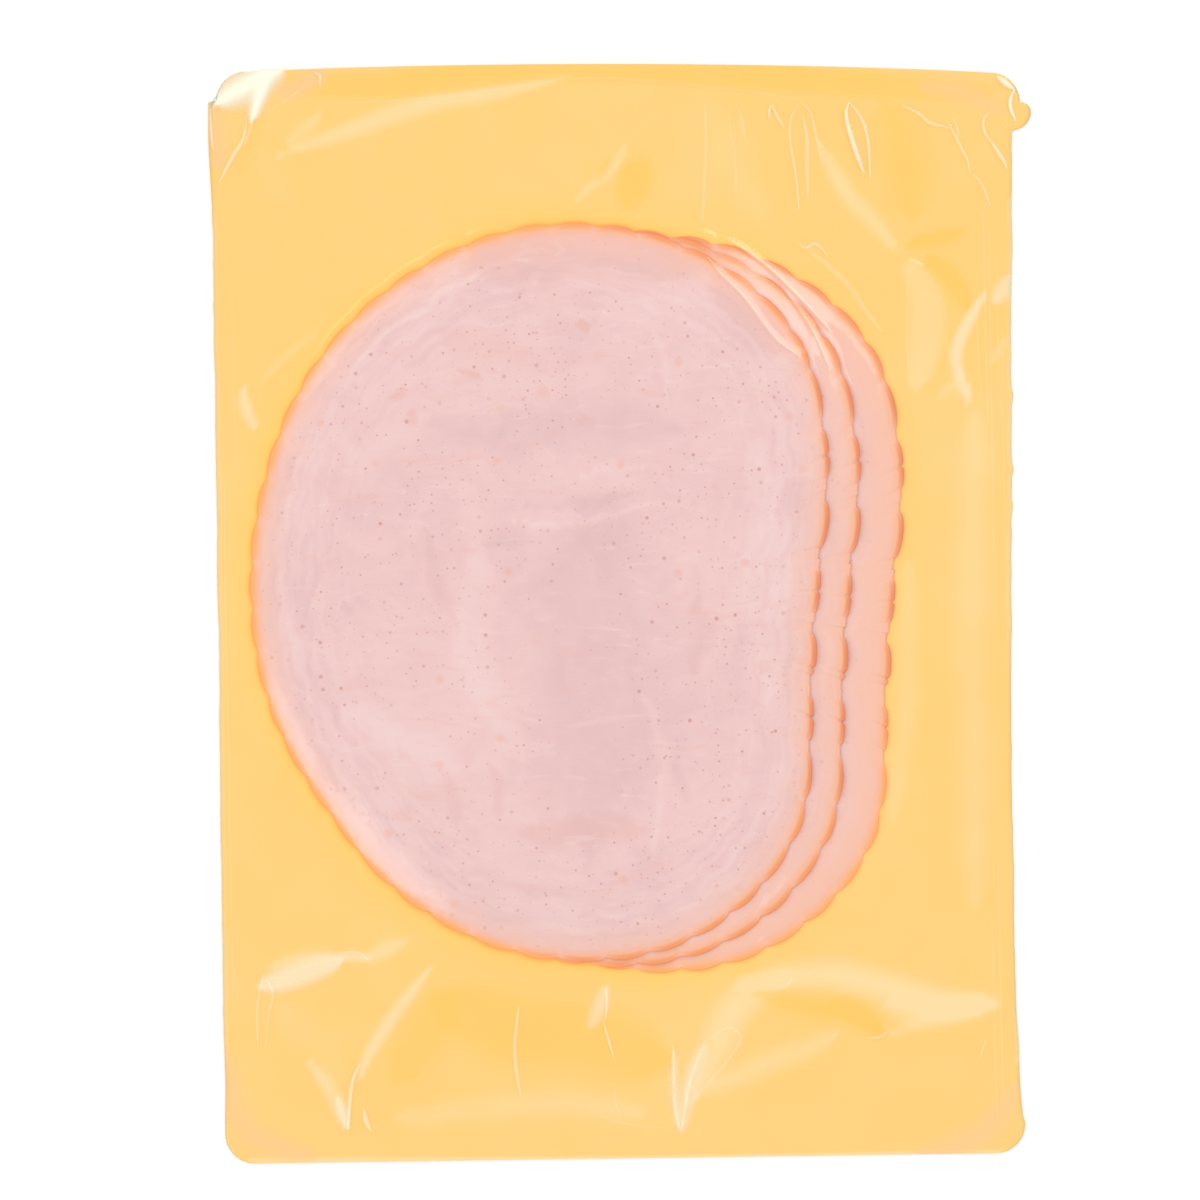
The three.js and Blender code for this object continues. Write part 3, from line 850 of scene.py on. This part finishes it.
def buildFilm():
    # a thin sheet over everything, with every fold and swell standing up from it
    def rowSpacing(q):
        low, high, fine, plain = clear["fineRows"]
        return np.where((q > high) | (q < low), fine, plain)

    def columnSpacing(p):
        low, high, fine, plain = clear["fineColumns"]
        return np.where((p > low) & (p < high), fine, plain)

    x, y = filmSheet(clear["rows"], clear["columns"], rowSpacing, columnSpacing)
    height = filmLift(x, y)
    base = backing["thickness"] + clear["clearance"] + (height + sag(x, y) * ease(height)) * squeeze(x, y)
    raised = summed(x, y, zones.values(), "rise")
    raised = raised + strongest(x, y, lines, "rise")
    rim = np.minimum(pack["width"] / 2 - np.abs(x), pack["leftLength"] / 2 - np.abs(y))
    calm = sum(high * (1 + drift(x, y, size, seed)) for high, size, seed in clear["calm"])
    width, share = clear["settle"]
    raised = (raised + calm) * ease(rim / width + share)
    top = base + clear["thickness"] + raised
    pressed = clear["pressed"] * ease(np.maximum(rim - 0.01, 0) / clear["pressWidth"])
    foot = neighbourLow(base, clear["every"]) - pressed
    piece = closedSheet("clear_film_skin", x, y, top, foot, clear["every"])
    # painted highlight: how white the zones make the film
    bare = np.ones(x.shape)
    for stroke in zones.values():
        if stroke.get("veil"):
            bare *= 1 - stroke["veil"] * strokeOver(x, y, stroke)
    lowCount = len(piece.data.vertices) - bare.size
    addField(piece, "veil", np.append(np.clip(1 - bare, 0, 1).ravel(), np.zeros(lowCount)))
    for number in range(crease["sets"]):
        across, white = creaseFields(x, y, lines[number :: crease["sets"]])
        addField(piece, f"across{number}", np.append(across.ravel(), np.full(lowCount, crease["most"])))
        addField(piece, f"white{number}", np.append(white.ravel(), np.zeros(lowCount)))
    return piece


filmPiece = buildFilm()
print("clear film built")

# ---- materials

lightOnPack = 1.12  # how much light the pack gets, against a white of 1


def colour(r, g, b):
    # a photo colour, 0 to 255, as the linear colour of a surface under this light
    def linear(c):
        c /= 255
        return c / 12.92 if c <= 0.04045 else ((c + 0.055) / 1.055) ** 2.4
    return (linear(r) / lightOnPack, linear(g) / lightOnPack, linear(b) / lightOnPack, 1.0)


def addNode(tree, kind, values=(), **settings):
    # a node with its inputs linked or set, by socket name or number
    node = tree.nodes.new(kind)
    for name, value in settings.items():
        setattr(node, name, value)
    for socket, value in dict(values).items():
        if isinstance(value, bpy.types.NodeSocket):
            tree.links.new(value, node.inputs[socket])
        else:
            node.inputs[socket].default_value = value
    return node


def sums(tree, operation, a, b=0.0, c=0.0, clamp=False):
    values = {0: a, 1: b, 2: c}
    return addNode(tree, "ShaderNodeMath", values, operation=operation, use_clamp=clamp).outputs[0]


def held(tree, value, factor=1.0):
    # a value times a factor, kept from 0 to 1
    return sums(tree, "MULTIPLY", value, factor, clamp=True)


def swing(tree, value, strength, middle=0.0):
    # a noise of 0 to 1 as a swing to both sides of a middle value
    return sums(tree, "MULTIPLY_ADD", sums(tree, "SUBTRACT", value, 0.5), strength, middle)


def mixed(tree, share, a, b):
    return addNode(tree, "ShaderNodeMix", {0: share, 6: a, 7: b}, data_type="RGBA").outputs[2]


def spread(tree, value, low, high, outLow=0.0, outHigh=1.0):
    # a value's range moved to another, eased
    values = {"Value": value, "From Min": low, "From Max": high, "To Min": outLow, "To Max": outHigh}
    return addNode(tree, "ShaderNodeMapRange", values, interpolation_type="SMOOTHSTEP").outputs[0]


def newGroup(name, inputs, outputs):
    group = bpy.data.node_groups.new(name, "ShaderNodeTree")
    for label, kind, value in inputs:
        socket = group.interface.new_socket(label, in_out="INPUT", socket_type=kind)
        if value is not None:
            socket.default_value = value
    for label, kind in outputs:
        group.interface.new_socket(label, in_out="OUTPUT", socket_type=kind)
    return group, group.nodes.new("NodeGroupInput").outputs, group.nodes.new("NodeGroupOutput").inputs


def fieldOf(tree, name):
    return addNode(tree, "ShaderNodeAttribute", attribute_name=name).outputs["Fac"]


def moved(tree, place, **values):
    # a place moved, turned or stretched by a Mapping node
    values = {name.title(): value for name, value in values.items()}
    return addNode(tree, "ShaderNodeMapping", {"Vector": place, **values}).outputs[0]


def placeOf(tree, shift=(0, 0, 0)):
    # Object coordinates in mm
    at = addNode(tree, "ShaderNodeTexCoord").outputs["Object"]
    return moved(tree, at, location=shift, scale=(1000, 1000, 1000))


def noise(tree, place, size, detail=2.0, roughness=0.5, distortion=0.0):
    values = {"Vector": place, "Scale": 1 / size, "Detail": detail}
    values.update({"Roughness": roughness, "Distortion": distortion})
    return addNode(tree, "ShaderNodeTexNoise", values).outputs[0]


def cellsOf(tree, place, size):
    # a random net: the distance to the middle of each cell, and three random numbers a cell
    values = {"Vector": place, "Scale": 1 / size}
    net = addNode(tree, "ShaderNodeTexVoronoi", values, voronoi_dimensions="2D").outputs
    return net["Distance"], addNode(tree, "ShaderNodeSeparateColor", {0: net["Color"]}).outputs


def bumpOn(tree, shader, height, strength, distance):
    bump = addNode(tree, "ShaderNodeBump", {"Height": height, "Strength": strength, "Distance": distance})
    tree.links.new(bump.outputs[0], shader.inputs["Normal"])


grain = {
    "finer": 3.7,  # how much finer the second noise is
    "fineShare": 0.35,  # and how strong, in the height
}


def fineGrain():
    # small unevenness that the films share: a value for colour and one for height
    group, given, made = newGroup(
        "fineGrain",
        [("Place", "NodeSocketVector", None), ("Size", "NodeSocketFloat", 1.0)],
        [("Value", "NodeSocketFloat"), ("Height", "NodeSocketFloat")],
    )
    scale = sums(group, "DIVIDE", 1.0, given["Size"])
    wide = addNode(group, "ShaderNodeTexNoise", {"Vector": given["Place"], "Scale": scale, "Detail": 3.0})
    finer = sums(group, "MULTIPLY", scale, grain["finer"])
    fine = addNode(group, "ShaderNodeTexNoise", {"Vector": given["Place"], "Scale": finer, "Detail": 2.0})
    group.links.new(wide.outputs[0], made["Value"])
    both = sums(group, "MULTIPLY_ADD", fine.outputs[0], grain["fineShare"], wide.outputs[0])
    group.links.new(both, made["Height"])
    return group


grainGroup = fineGrain()


def useGroup(tree, group, values):
    return addNode(tree, "ShaderNodeGroup", values, node_tree=group).outputs


def newMaterial(name):
    material = bpy.data.materials.new(name)
    material.use_nodes = True
    material.cycles.emission_sampling = "NONE"  # the faint glows light nothing else
    tree = material.node_tree
    tree.nodes.clear()
    shader = addNode(tree, "ShaderNodeBsdfPrincipled")
    out = addNode(tree, "ShaderNodeOutputMaterial")
    tree.links.new(shader.outputs[0], out.inputs[0])
    return material, tree, shader, out


underFilm = 0.25  # what lies under the film mirrors less than in air

# the pale tint also stands for painted reflection of the film; the most orange one is a painted glow and
# shade round the slices
yellowColours = {
    "plain": (259, 210, 116),
    "deep": (259, 205, 90),
    "pale": (258, 224, 160),
    "paintedRimGlow": (268, 200, 76),
    "blush": (257, 205, 134),
}

yellow = {
    "grainSize": 7.0,
    "variation": 0.35,  # how much its tone wanders
    "paintedGlow": 0.13,  # painted glow: light given off by the backing near the meat's rim, as if it came through it
    "roughness": 0.42,
    "roughSwing": 0.14,
    "bump": (0.35, 0.00004),
}


def backingMaterial():
    material, tree, shader, _ = newMaterial("yellowFilm")
    shader.inputs["Specular IOR Level"].default_value = underFilm
    tints = {name: colour(*values) for name, values in yellowColours.items()}
    grainOn = useGroup(tree, grainGroup, {"Place": placeOf(tree), "Size": yellow["grainSize"]})
    tone = swing(tree, grainOn["Value"], yellow["variation"], fieldOf(tree, "tone"))
    tinted = mixed(tree, held(tree, tone), tints["plain"], tints["pale"])
    tinted = mixed(tree, held(tree, tone, -1.0), tinted, tints["deep"])
    tinted = mixed(tree, held(tree, fieldOf(tree, "blush")), tinted, tints["blush"])
    # painted orange glow and shade round the slices: a tint and a faint emission
    paintedRimGlow = fieldOf(tree, "paintedRimGlow")
    tree.links.new(mixed(tree, paintedRimGlow, tinted, tints["paintedRimGlow"]), shader.inputs["Base Color"])
    shader.inputs["Emission Color"].default_value = tints["paintedRimGlow"]
    tree.links.new(sums(tree, "MULTIPLY", paintedRimGlow, yellow["paintedGlow"]), shader.inputs["Emission Strength"])
    rough = swing(tree, grainOn["Value"], yellow["roughSwing"], yellow["roughness"])
    tree.links.new(rough, shader.inputs["Roughness"])
    bumpOn(tree, shader, grainOn["Height"], *yellow["bump"])
    return material


# the rim's tints: edge is a painted shadow line; the two brightest, for a rim that lies on the backing, are
# painted light
meatColours = {
    "plain": (241, 199, 196),
    "grey": (228, 188, 187),
    "pale": (245, 211, 207),
    "flush": (240, 186, 176),
    "pore": (212, 146, 132),
    "spot": (240, 172, 150),
    "inRim": (252, 194, 170),
    "rim": (255, 174, 116),
    "bead": (224, 122, 80),
    "edge": (220, 120, 70),
    "freeBead": (262, 170, 92),
    "freeEdge": (262, 160, 76),
}

meat = {
    # noises: size in mm, detail, roughness, distortion
    "broad": (26, 3, 0.55, 0.6),
    "patchy": (8, 4, 0.6, 1.2),
    "fibre": (3.4, 4, 0.62, 1.6),
    "fibreTurn": 0.35,
    "fibreStretch": 0.28,
    # grain that runs round with the rim: how fine round the slice, its width in mm, and from what
    # distance to what distance from the rim it fades in
    "rings": (3.5, 1.5, 26.0, 4.0),
    "swings": (1.3, 1.5, 2.6),  # how strongly the broad, patchy and ringed noises swing the shade
    "palerFibre": (0.55, 0.72, 0.5),  # the fibre noise's range, and how strong
    "warmerFibre": (0.44, 0.3, 0.4),
    "pores": ((1.5, 0.10), (3.1, 0.07)),  # cell of each net in mm, and how much the largest grow
    "poreLeast": 0.05,
    "poreEdge": (0.045, -0.03),
    "poreClumps": (15, 1.3),  # size of the clumps in mm, and how strongly the pores keep to them
    "poreSparse": 0.26,  # how much rarer they are in a field of shade
    "poreChosen": (1.25, 1.37),
    "poreStrength": (0.6, 0.25),
    "blots": (11.0, 0.11, 0.03),  # cell of the net in mm, and each spot's edge
    "blotChosen": (0.68, 0.8, 0.38),  # which cells have one, and how strong
    "rimWander": 3.0,
    "innerRim": (8.0, 0.4, 0.85),  # from and to what distance from the rim, and how strong
    "innerWarmth": (1.5, 0.75),  # how much warmth narrows it, and its strength where there is none
    # bands of the rim: from and to what distance, strength on a crest, and in a notch; the narrowest one,
    # edge, is a painted shadow line along the very rim
    "bands": {"rim": (2.9, 0.3, 0.75, 0.2), "bead": (1.4, 0.5, 0.8, 0.1), "edge": (0.4, 0.15, 0.6, 0.3)},
    "paintedGlow": 0.1,  # painted glow: light given off by the thin rim, as if it came through it
    "paintedGlowReach": (2.0, 0.2),
    "paintedGlowFree": (0.35, 0.65),  # more of it where the rim lies on the backing, and the rest everywhere
    "roughness": 0.505,
    "roughSwing": 0.25,
    "bump": (0.4, 0.00006),
    "poreDepth": 0.8,
}


def meatPattern():
    # pink of the meat: broad greyer and warmer fields, pale fibres, pores and spots, and the orange
    # of the smoked rim, which is strongest on the crests, with painted light and shade and a painted shadow
    # line on it
    group, given, made = newGroup(
        "meatPattern",
        [
            ("Place", "NodeSocketVector", None),
            ("From Rim", "NodeSocketFloat", 20.0),
            ("Crest", "NodeSocketFloat", 1.0),
            ("Painted Light", "NodeSocketFloat", 0.0),
            ("Warmth", "NodeSocketFloat", 0.0),
            ("Shade", "NodeSocketFloat", 0.0),
            ("Blush", "NodeSocketFloat", 0.0),
            ("Toward", "NodeSocketVector", None),
        ],
        [("Color", "NodeSocketColor"), ("Roughness", "NodeSocketFloat"), ("Height", "NodeSocketFloat")],
    )
    tints = {name: colour(*values) for name, values in meatColours.items()}
    place = given["Place"]
    broad = noise(group, place, *meat["broad"])
    patchy = noise(group, place, *meat["patchy"])
    stretched = moved(group, place, rotation=(0, 0, meat["fibreTurn"]), scale=(meat["fibreStretch"], 1, 1))
    fibre = noise(group, stretched, *meat["fibre"])
    # a noise of the direction and of the distance from the rim
    fineness, width, far, near = meat["rings"]
    direction = {0: given["Toward"], 3: fineness}
    direction = addNode(group, "ShaderNodeVectorMath", direction, operation="SCALE").outputs[0]
    depth = sums(group, "DIVIDE", given["From Rim"], width)
    depth = addNode(group, "ShaderNodeCombineXYZ", {2: depth}).outputs[0]
    ringPlace = addNode(group, "ShaderNodeVectorMath", {0: direction, 1: depth}, operation="ADD").outputs[0]
    ringed = swing(group, noise(group, ringPlace, 1.0), 1.0)
    ringed = sums(group, "MULTIPLY", ringed, spread(group, given["From Rim"], far, near))
    # greyer above 0 and paler below it
    broadSwing, patchySwing, ringSwing = meat["swings"]
    shade = swing(group, broad, broadSwing, given["Shade"])
    shade = swing(group, patchy, patchySwing, shade)
    shade = sums(group, "MULTIPLY_ADD", ringed, ringSwing, shade)
    tinted = mixed(group, held(group, shade), tints["plain"], tints["grey"])
    tinted = mixed(group, held(group, shade, -1.0), tinted, tints["pale"])
    tinted = mixed(group, held(group, given["Blush"]), tinted, tints["flush"])
    for tint, (low, high, strength) in (("pale", meat["palerFibre"]), ("flush", meat["warmerFibre"])):
        tinted = mixed(group, spread(group, fibre, low, high, 0, strength), tinted, tints[tint])
    # pores: a dot in some of the cells of a random net, of two sizes
    clumpSize, clumpStrength = meat["poreClumps"]
    sparse = sums(group, "MULTIPLY", sums(group, "ABSOLUTE", given["Shade"]), -meat["poreSparse"])
    clumps = sums(group, "MULTIPLY_ADD", noise(group, place, clumpSize, 1), clumpStrength, sparse)
    pores = None
    for size, growth in meat["pores"]:
        turned = moved(group, place, location=(7.3 * size, 0, 0), rotation=(0, 0, size))
        distance, pick = cellsOf(group, turned, size)
        width = sums(group, "MULTIPLY_ADD", sums(group, "POWER", pick[0], 3.0), growth, meat["poreLeast"])
        dot = spread(group, sums(group, "SUBTRACT", distance, width), *meat["poreEdge"])
        chosen = spread(group, sums(group, "ADD", clumps, pick[1]), *meat["poreChosen"])
        strength = sums(group, "MULTIPLY_ADD", pick[2], *meat["poreStrength"])
        one = sums(group, "MULTIPLY", sums(group, "MULTIPLY", dot, chosen), strength)
        pores = one if pores is None else sums(group, "MAXIMUM", pores, one)
    tinted = mixed(group, pores, tinted, tints["pore"])
    # a few larger soft spots
    size, outer, inner = meat["blots"]
    distance, pick = cellsOf(group, place, size)
    low, high, strength = meat["blotChosen"]
    blot = spread(group, distance, outer, inner)
    blot = sums(group, "MULTIPLY", blot, spread(group, pick[0], low, high, 0, strength))
    tinted = mixed(group, blot, tinted, tints["spot"])
    # the rim: smoked orange bands, with painted light where it lies on the backing and a painted shadow
    # line at its edge
    narrower, least = meat["innerWarmth"]
    wander = swing(group, patchy, meat["rimWander"], given["From Rim"])
    wander = sums(group, "DIVIDE", wander, sums(group, "MULTIPLY_ADD", given["Warmth"], narrower, 1.0))
    far, near, strength = meat["innerRim"]
    inner = spread(group, wander, far, near, 0, strength)
    inner = sums(group, "MULTIPLY", inner, sums(group, "ADD", given["Warmth"], least), clamp=True)
    tinted = mixed(group, inner, tinted, tints["inRim"])
    for tint, (far, near, onCrest, between) in meat["bands"].items():
        strength = sums(group, "MULTIPLY_ADD", given["Crest"], onCrest, between)
        band = tints[tint]
        if tint != "rim":
            band = mixed(group, given["Painted Light"], band, tints["free" + tint.title()])
        share = sums(group, "MULTIPLY", spread(group, given["From Rim"], far, near), strength)
        tinted = mixed(group, share, tinted, band)
    group.links.new(tinted, made["Color"])
    group.links.new(swing(group, fibre, meat["roughSwing"], meat["roughness"]), made["Roughness"])
    relief = sums(group, "MULTIPLY_ADD", pores, -meat["poreDepth"], sums(group, "ADD", fibre, patchy))
    group.links.new(relief, made["Height"])
    return group


meatGroup = meatPattern()


def meatMaterial(name, shift, warmth):
    material, tree, shader, _ = newMaterial(name)
    shader.inputs["Specular IOR Level"].default_value = underFilm
    cx, cy = centreOf("slice_top")
    middle = placeOf(tree, (-cx - 1000 * toFrame[0], -cy - 1000 * toFrame[1], 0))
    toward = addNode(tree, "ShaderNodeVectorMath", {0: middle}, operation="NORMALIZE").outputs[0]
    fromRim, free = fieldOf(tree, "fromRim"), fieldOf(tree, "free")
    pattern = useGroup(tree, meatGroup, {
        "Place": placeOf(tree, shift),
        "From Rim": fromRim,
        "Crest": fieldOf(tree, "crest"),
        "Painted Light": free,
        "Warmth": warmth,
        "Shade": fieldOf(tree, "shade"),
        "Blush": fieldOf(tree, "blush"),
        "Toward": toward,
    })
    tree.links.new(pattern["Color"], shader.inputs["Base Color"])
    tree.links.new(pattern["Roughness"], shader.inputs["Roughness"])
    # painted glow: the rim gives off a little light, more where it lies on the backing
    meatGlowShare = sums(tree, "MULTIPLY_ADD", free, *meat["paintedGlowFree"])
    paintedMeatGlow = sums(tree, "MULTIPLY", spread(tree, fromRim, *meat["paintedGlowReach"], 0, meat["paintedGlow"]), meatGlowShare)
    shader.inputs["Emission Color"].default_value = colour(*meatColours["freeBead"])
    tree.links.new(paintedMeatGlow, shader.inputs["Emission Strength"])
    bumpOn(tree, shader, pattern["Height"], *meat["bump"])
    return material


gloss = {
    "headOn": 0.06,  # share of light that the film mirrors, seen head on
    "glancing": 0.35,
    "glancingPower": 3.0,
    "grainSize": 5.0,
    "roughness": 0.11,
    "roughSwing": 0.08,
    "bump": (0.5, 0.00005),
    "crease": 0.62,  # how strong the creases' painted white highlight is
    "creaseEdge": (1.0, 0.1),  # across a crease, its white grows from the one to the other
    # the painted highlight's colour and roughness
    "white": (1, 0.98, 0.76, 1),
    "paintedWhiteRoughness": 0.4,
}


def filmMaterial():
    # mostly clear: a mirror share that grows at a glancing angle, and a painted white highlight on the
    # creases and over the highlight zones
    material, tree, mirror, out = newMaterial("clearFilm")
    mirror.inputs["Base Color"].default_value = (1, 1, 1, 1)
    mirror.inputs["Metallic"].default_value = 1.0
    grainOn = useGroup(tree, grainGroup, {"Place": placeOf(tree), "Size": gloss["grainSize"]})
    rough = swing(tree, grainOn["Value"], gloss["roughSwing"], gloss["roughness"])
    tree.links.new(rough, mirror.inputs["Roughness"])
    # the creases: a painted white highlight where a point lies between a crease's edges
    creases = None
    for number in range(crease["sets"]):
        across = sums(tree, "ABSOLUTE", fieldOf(tree, f"across{number}"))
        line = spread(tree, across, *gloss["creaseEdge"])
        line = sums(tree, "MULTIPLY", line, fieldOf(tree, f"white{number}"))
        creases = line if creases is None else sums(tree, "MAXIMUM", creases, line)
    bumpOn(tree, mirror, sums(tree, "ADD", creases, grainOn["Height"]), *gloss["bump"])
    clearPart = addNode(tree, "ShaderNodeBsdfTransparent").outputs[0]
    values = {"Base Color": gloss["white"], "Roughness": gloss["paintedWhiteRoughness"]}
    white = addNode(tree, "ShaderNodeBsdfPrincipled", values).outputs[0]
    veil = sums(tree, "MULTIPLY_ADD", creases, gloss["crease"], fieldOf(tree, "veil"), clamp=True)
    body = addNode(tree, "ShaderNodeMixShader", {0: veil, 1: clearPart, 2: white}).outputs[0]
    facing = addNode(tree, "ShaderNodeLayerWeight", {"Blend": 0.5}).outputs["Facing"]
    facing = sums(tree, "POWER", facing, gloss["glancingPower"])
    share = sums(tree, "MULTIPLY_ADD", facing, gloss["glancing"], gloss["headOn"])
    # only the outer side mirrors, and only to the eye: the lamps' light passes
    seen = addNode(tree, "ShaderNodeLightPath").outputs["Is Camera Ray"]
    outer = sums(tree, "SUBTRACT", 1.0, addNode(tree, "ShaderNodeNewGeometry").outputs["Backfacing"])
    share = sums(tree, "MULTIPLY", share, sums(tree, "MULTIPLY", seen, outer))
    whole = addNode(tree, "ShaderNodeMixShader", {0: share, 1: body, 2: mirror.outputs[0]}).outputs[0]
    tree.links.new(whole, out.inputs[0])
    return material


backingPiece.data.materials.append(backingMaterial())
filmPiece.data.materials.append(filmMaterial())
finishes = {  # where each slice takes its pattern, in mm, and how warm its inner rim is
    "slice_top": ((0, 0, 0), 0.0),
    "slice_middle": ((31, 17, 0), 0.25),
    "slice_bottom": ((-47, 63, 0), 0.55),
}
for name, (shift, warmth) in finishes.items():
    label = "meat" + name.title().replace("_", "")
    slicePieces[name].data.materials.append(meatMaterial(label, shift, warmth))
print("materials built")

# ---- how the pieces stand for the solids

for piece, node, slot in [
    (backingPiece, "backing_film", "backing"),
    (filmPiece, "clear_film", "film"),
    *((slicePieces[name], name, "turkey") for name in sliceNames),
]:
    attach(piece, "root")
    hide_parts(node)

# ---- table, lights and camera

studio = {
    "world": 0.78,
    "table": (0.93, 0.93, 0.93, 1),
    "tableGlow": 0.12,
    "tableRoughness": 0.7,
    "tableSize": 3.0,
    "tableTop": -0.0002,  # it lies this much under the pack, so that the two never touch
    # lamps: direction round the pack and lean from upright in degrees, distance and side in m, and
    # power in W
    "boxes": {
        "upper right box": (48, 54, 1.3, 0.8, 4.2),
        "lower left box": (214, 56, 1.3, 0.8, 3.4),
        "upper left box": (135, 58, 1.3, 0.8, 2.2),
        "lower right box": (318, 58, 1.3, 0.8, 1.8),
    },
    "cameraHeight": 1.2,
    "sensor": 36.0,
}


def buildTable():
    half = studio["tableSize"] / 2
    corners = [(-half, -half), (half, -half), (half, half), (-half, half)]
    mesh = bpy.data.meshes.new("table")
    mesh.from_pydata([(x, y, studio["tableTop"]) for x, y in corners], [], [(0, 1, 2, 3)])
    table = bpy.data.objects.new("table", mesh)
    bpy.context.scene.collection.objects.link(table)
    material, _, shader, _ = newMaterial("tableWhite")
    shader.inputs["Base Color"].default_value = studio["table"]
    shader.inputs["Roughness"].default_value = studio["tableRoughness"]
    shader.inputs["Emission Color"].default_value = (1, 1, 1, 1)
    shader.inputs["Emission Strength"].default_value = studio["tableGlow"]
    mesh.materials.append(material)


def buildLights():
    world = bpy.data.worlds.new("studio")
    world.use_nodes = True
    back = world.node_tree.nodes["Background"]
    back.inputs["Color"].default_value = (1, 1, 1, 1)
    back.inputs["Strength"].default_value = studio["world"]
    bpy.context.scene.world = world
    for name, (turn, lean, distance, side, power) in studio["boxes"].items():
        light = bpy.data.lights.new(name, "AREA")
        light.shape = "SQUARE"
        light.size = side
        light.energy = power
        lamp = bpy.data.objects.new(name, light)
        turn, lean = math.radians(turn), math.radians(lean)
        flat = distance * math.sin(lean)
        lamp.location = (flat * math.cos(turn), flat * math.sin(turn), distance * math.cos(lean))
        lamp.rotation_euler = (0, lean, turn)
        bpy.context.scene.collection.objects.link(lamp)


def buildCamera():
    # straight above, so that the photo's middle is the picture's middle
    x, y = fromPhoto(photo["side"] / 2, photo["side"] / 2)
    data = bpy.data.cameras.new("camera")
    width = 0.001 * photo["scale"] * photo["side"]
    data.sensor_width = studio["sensor"]
    data.lens = studio["sensor"] * studio["cameraHeight"] / width
    camera = bpy.data.objects.new("camera", data)
    camera.location = (0.001 * x + toFrame[0], 0.001 * y + toFrame[1], studio["cameraHeight"])
    camera.rotation_euler = (0, 0, -photo["turn"])
    bpy.context.scene.collection.objects.link(camera)
    bpy.context.scene.camera = camera


buildTable()
buildLights()
buildCamera()
bpy.context.scene.view_settings.view_transform = "Standard"
print("studio built")
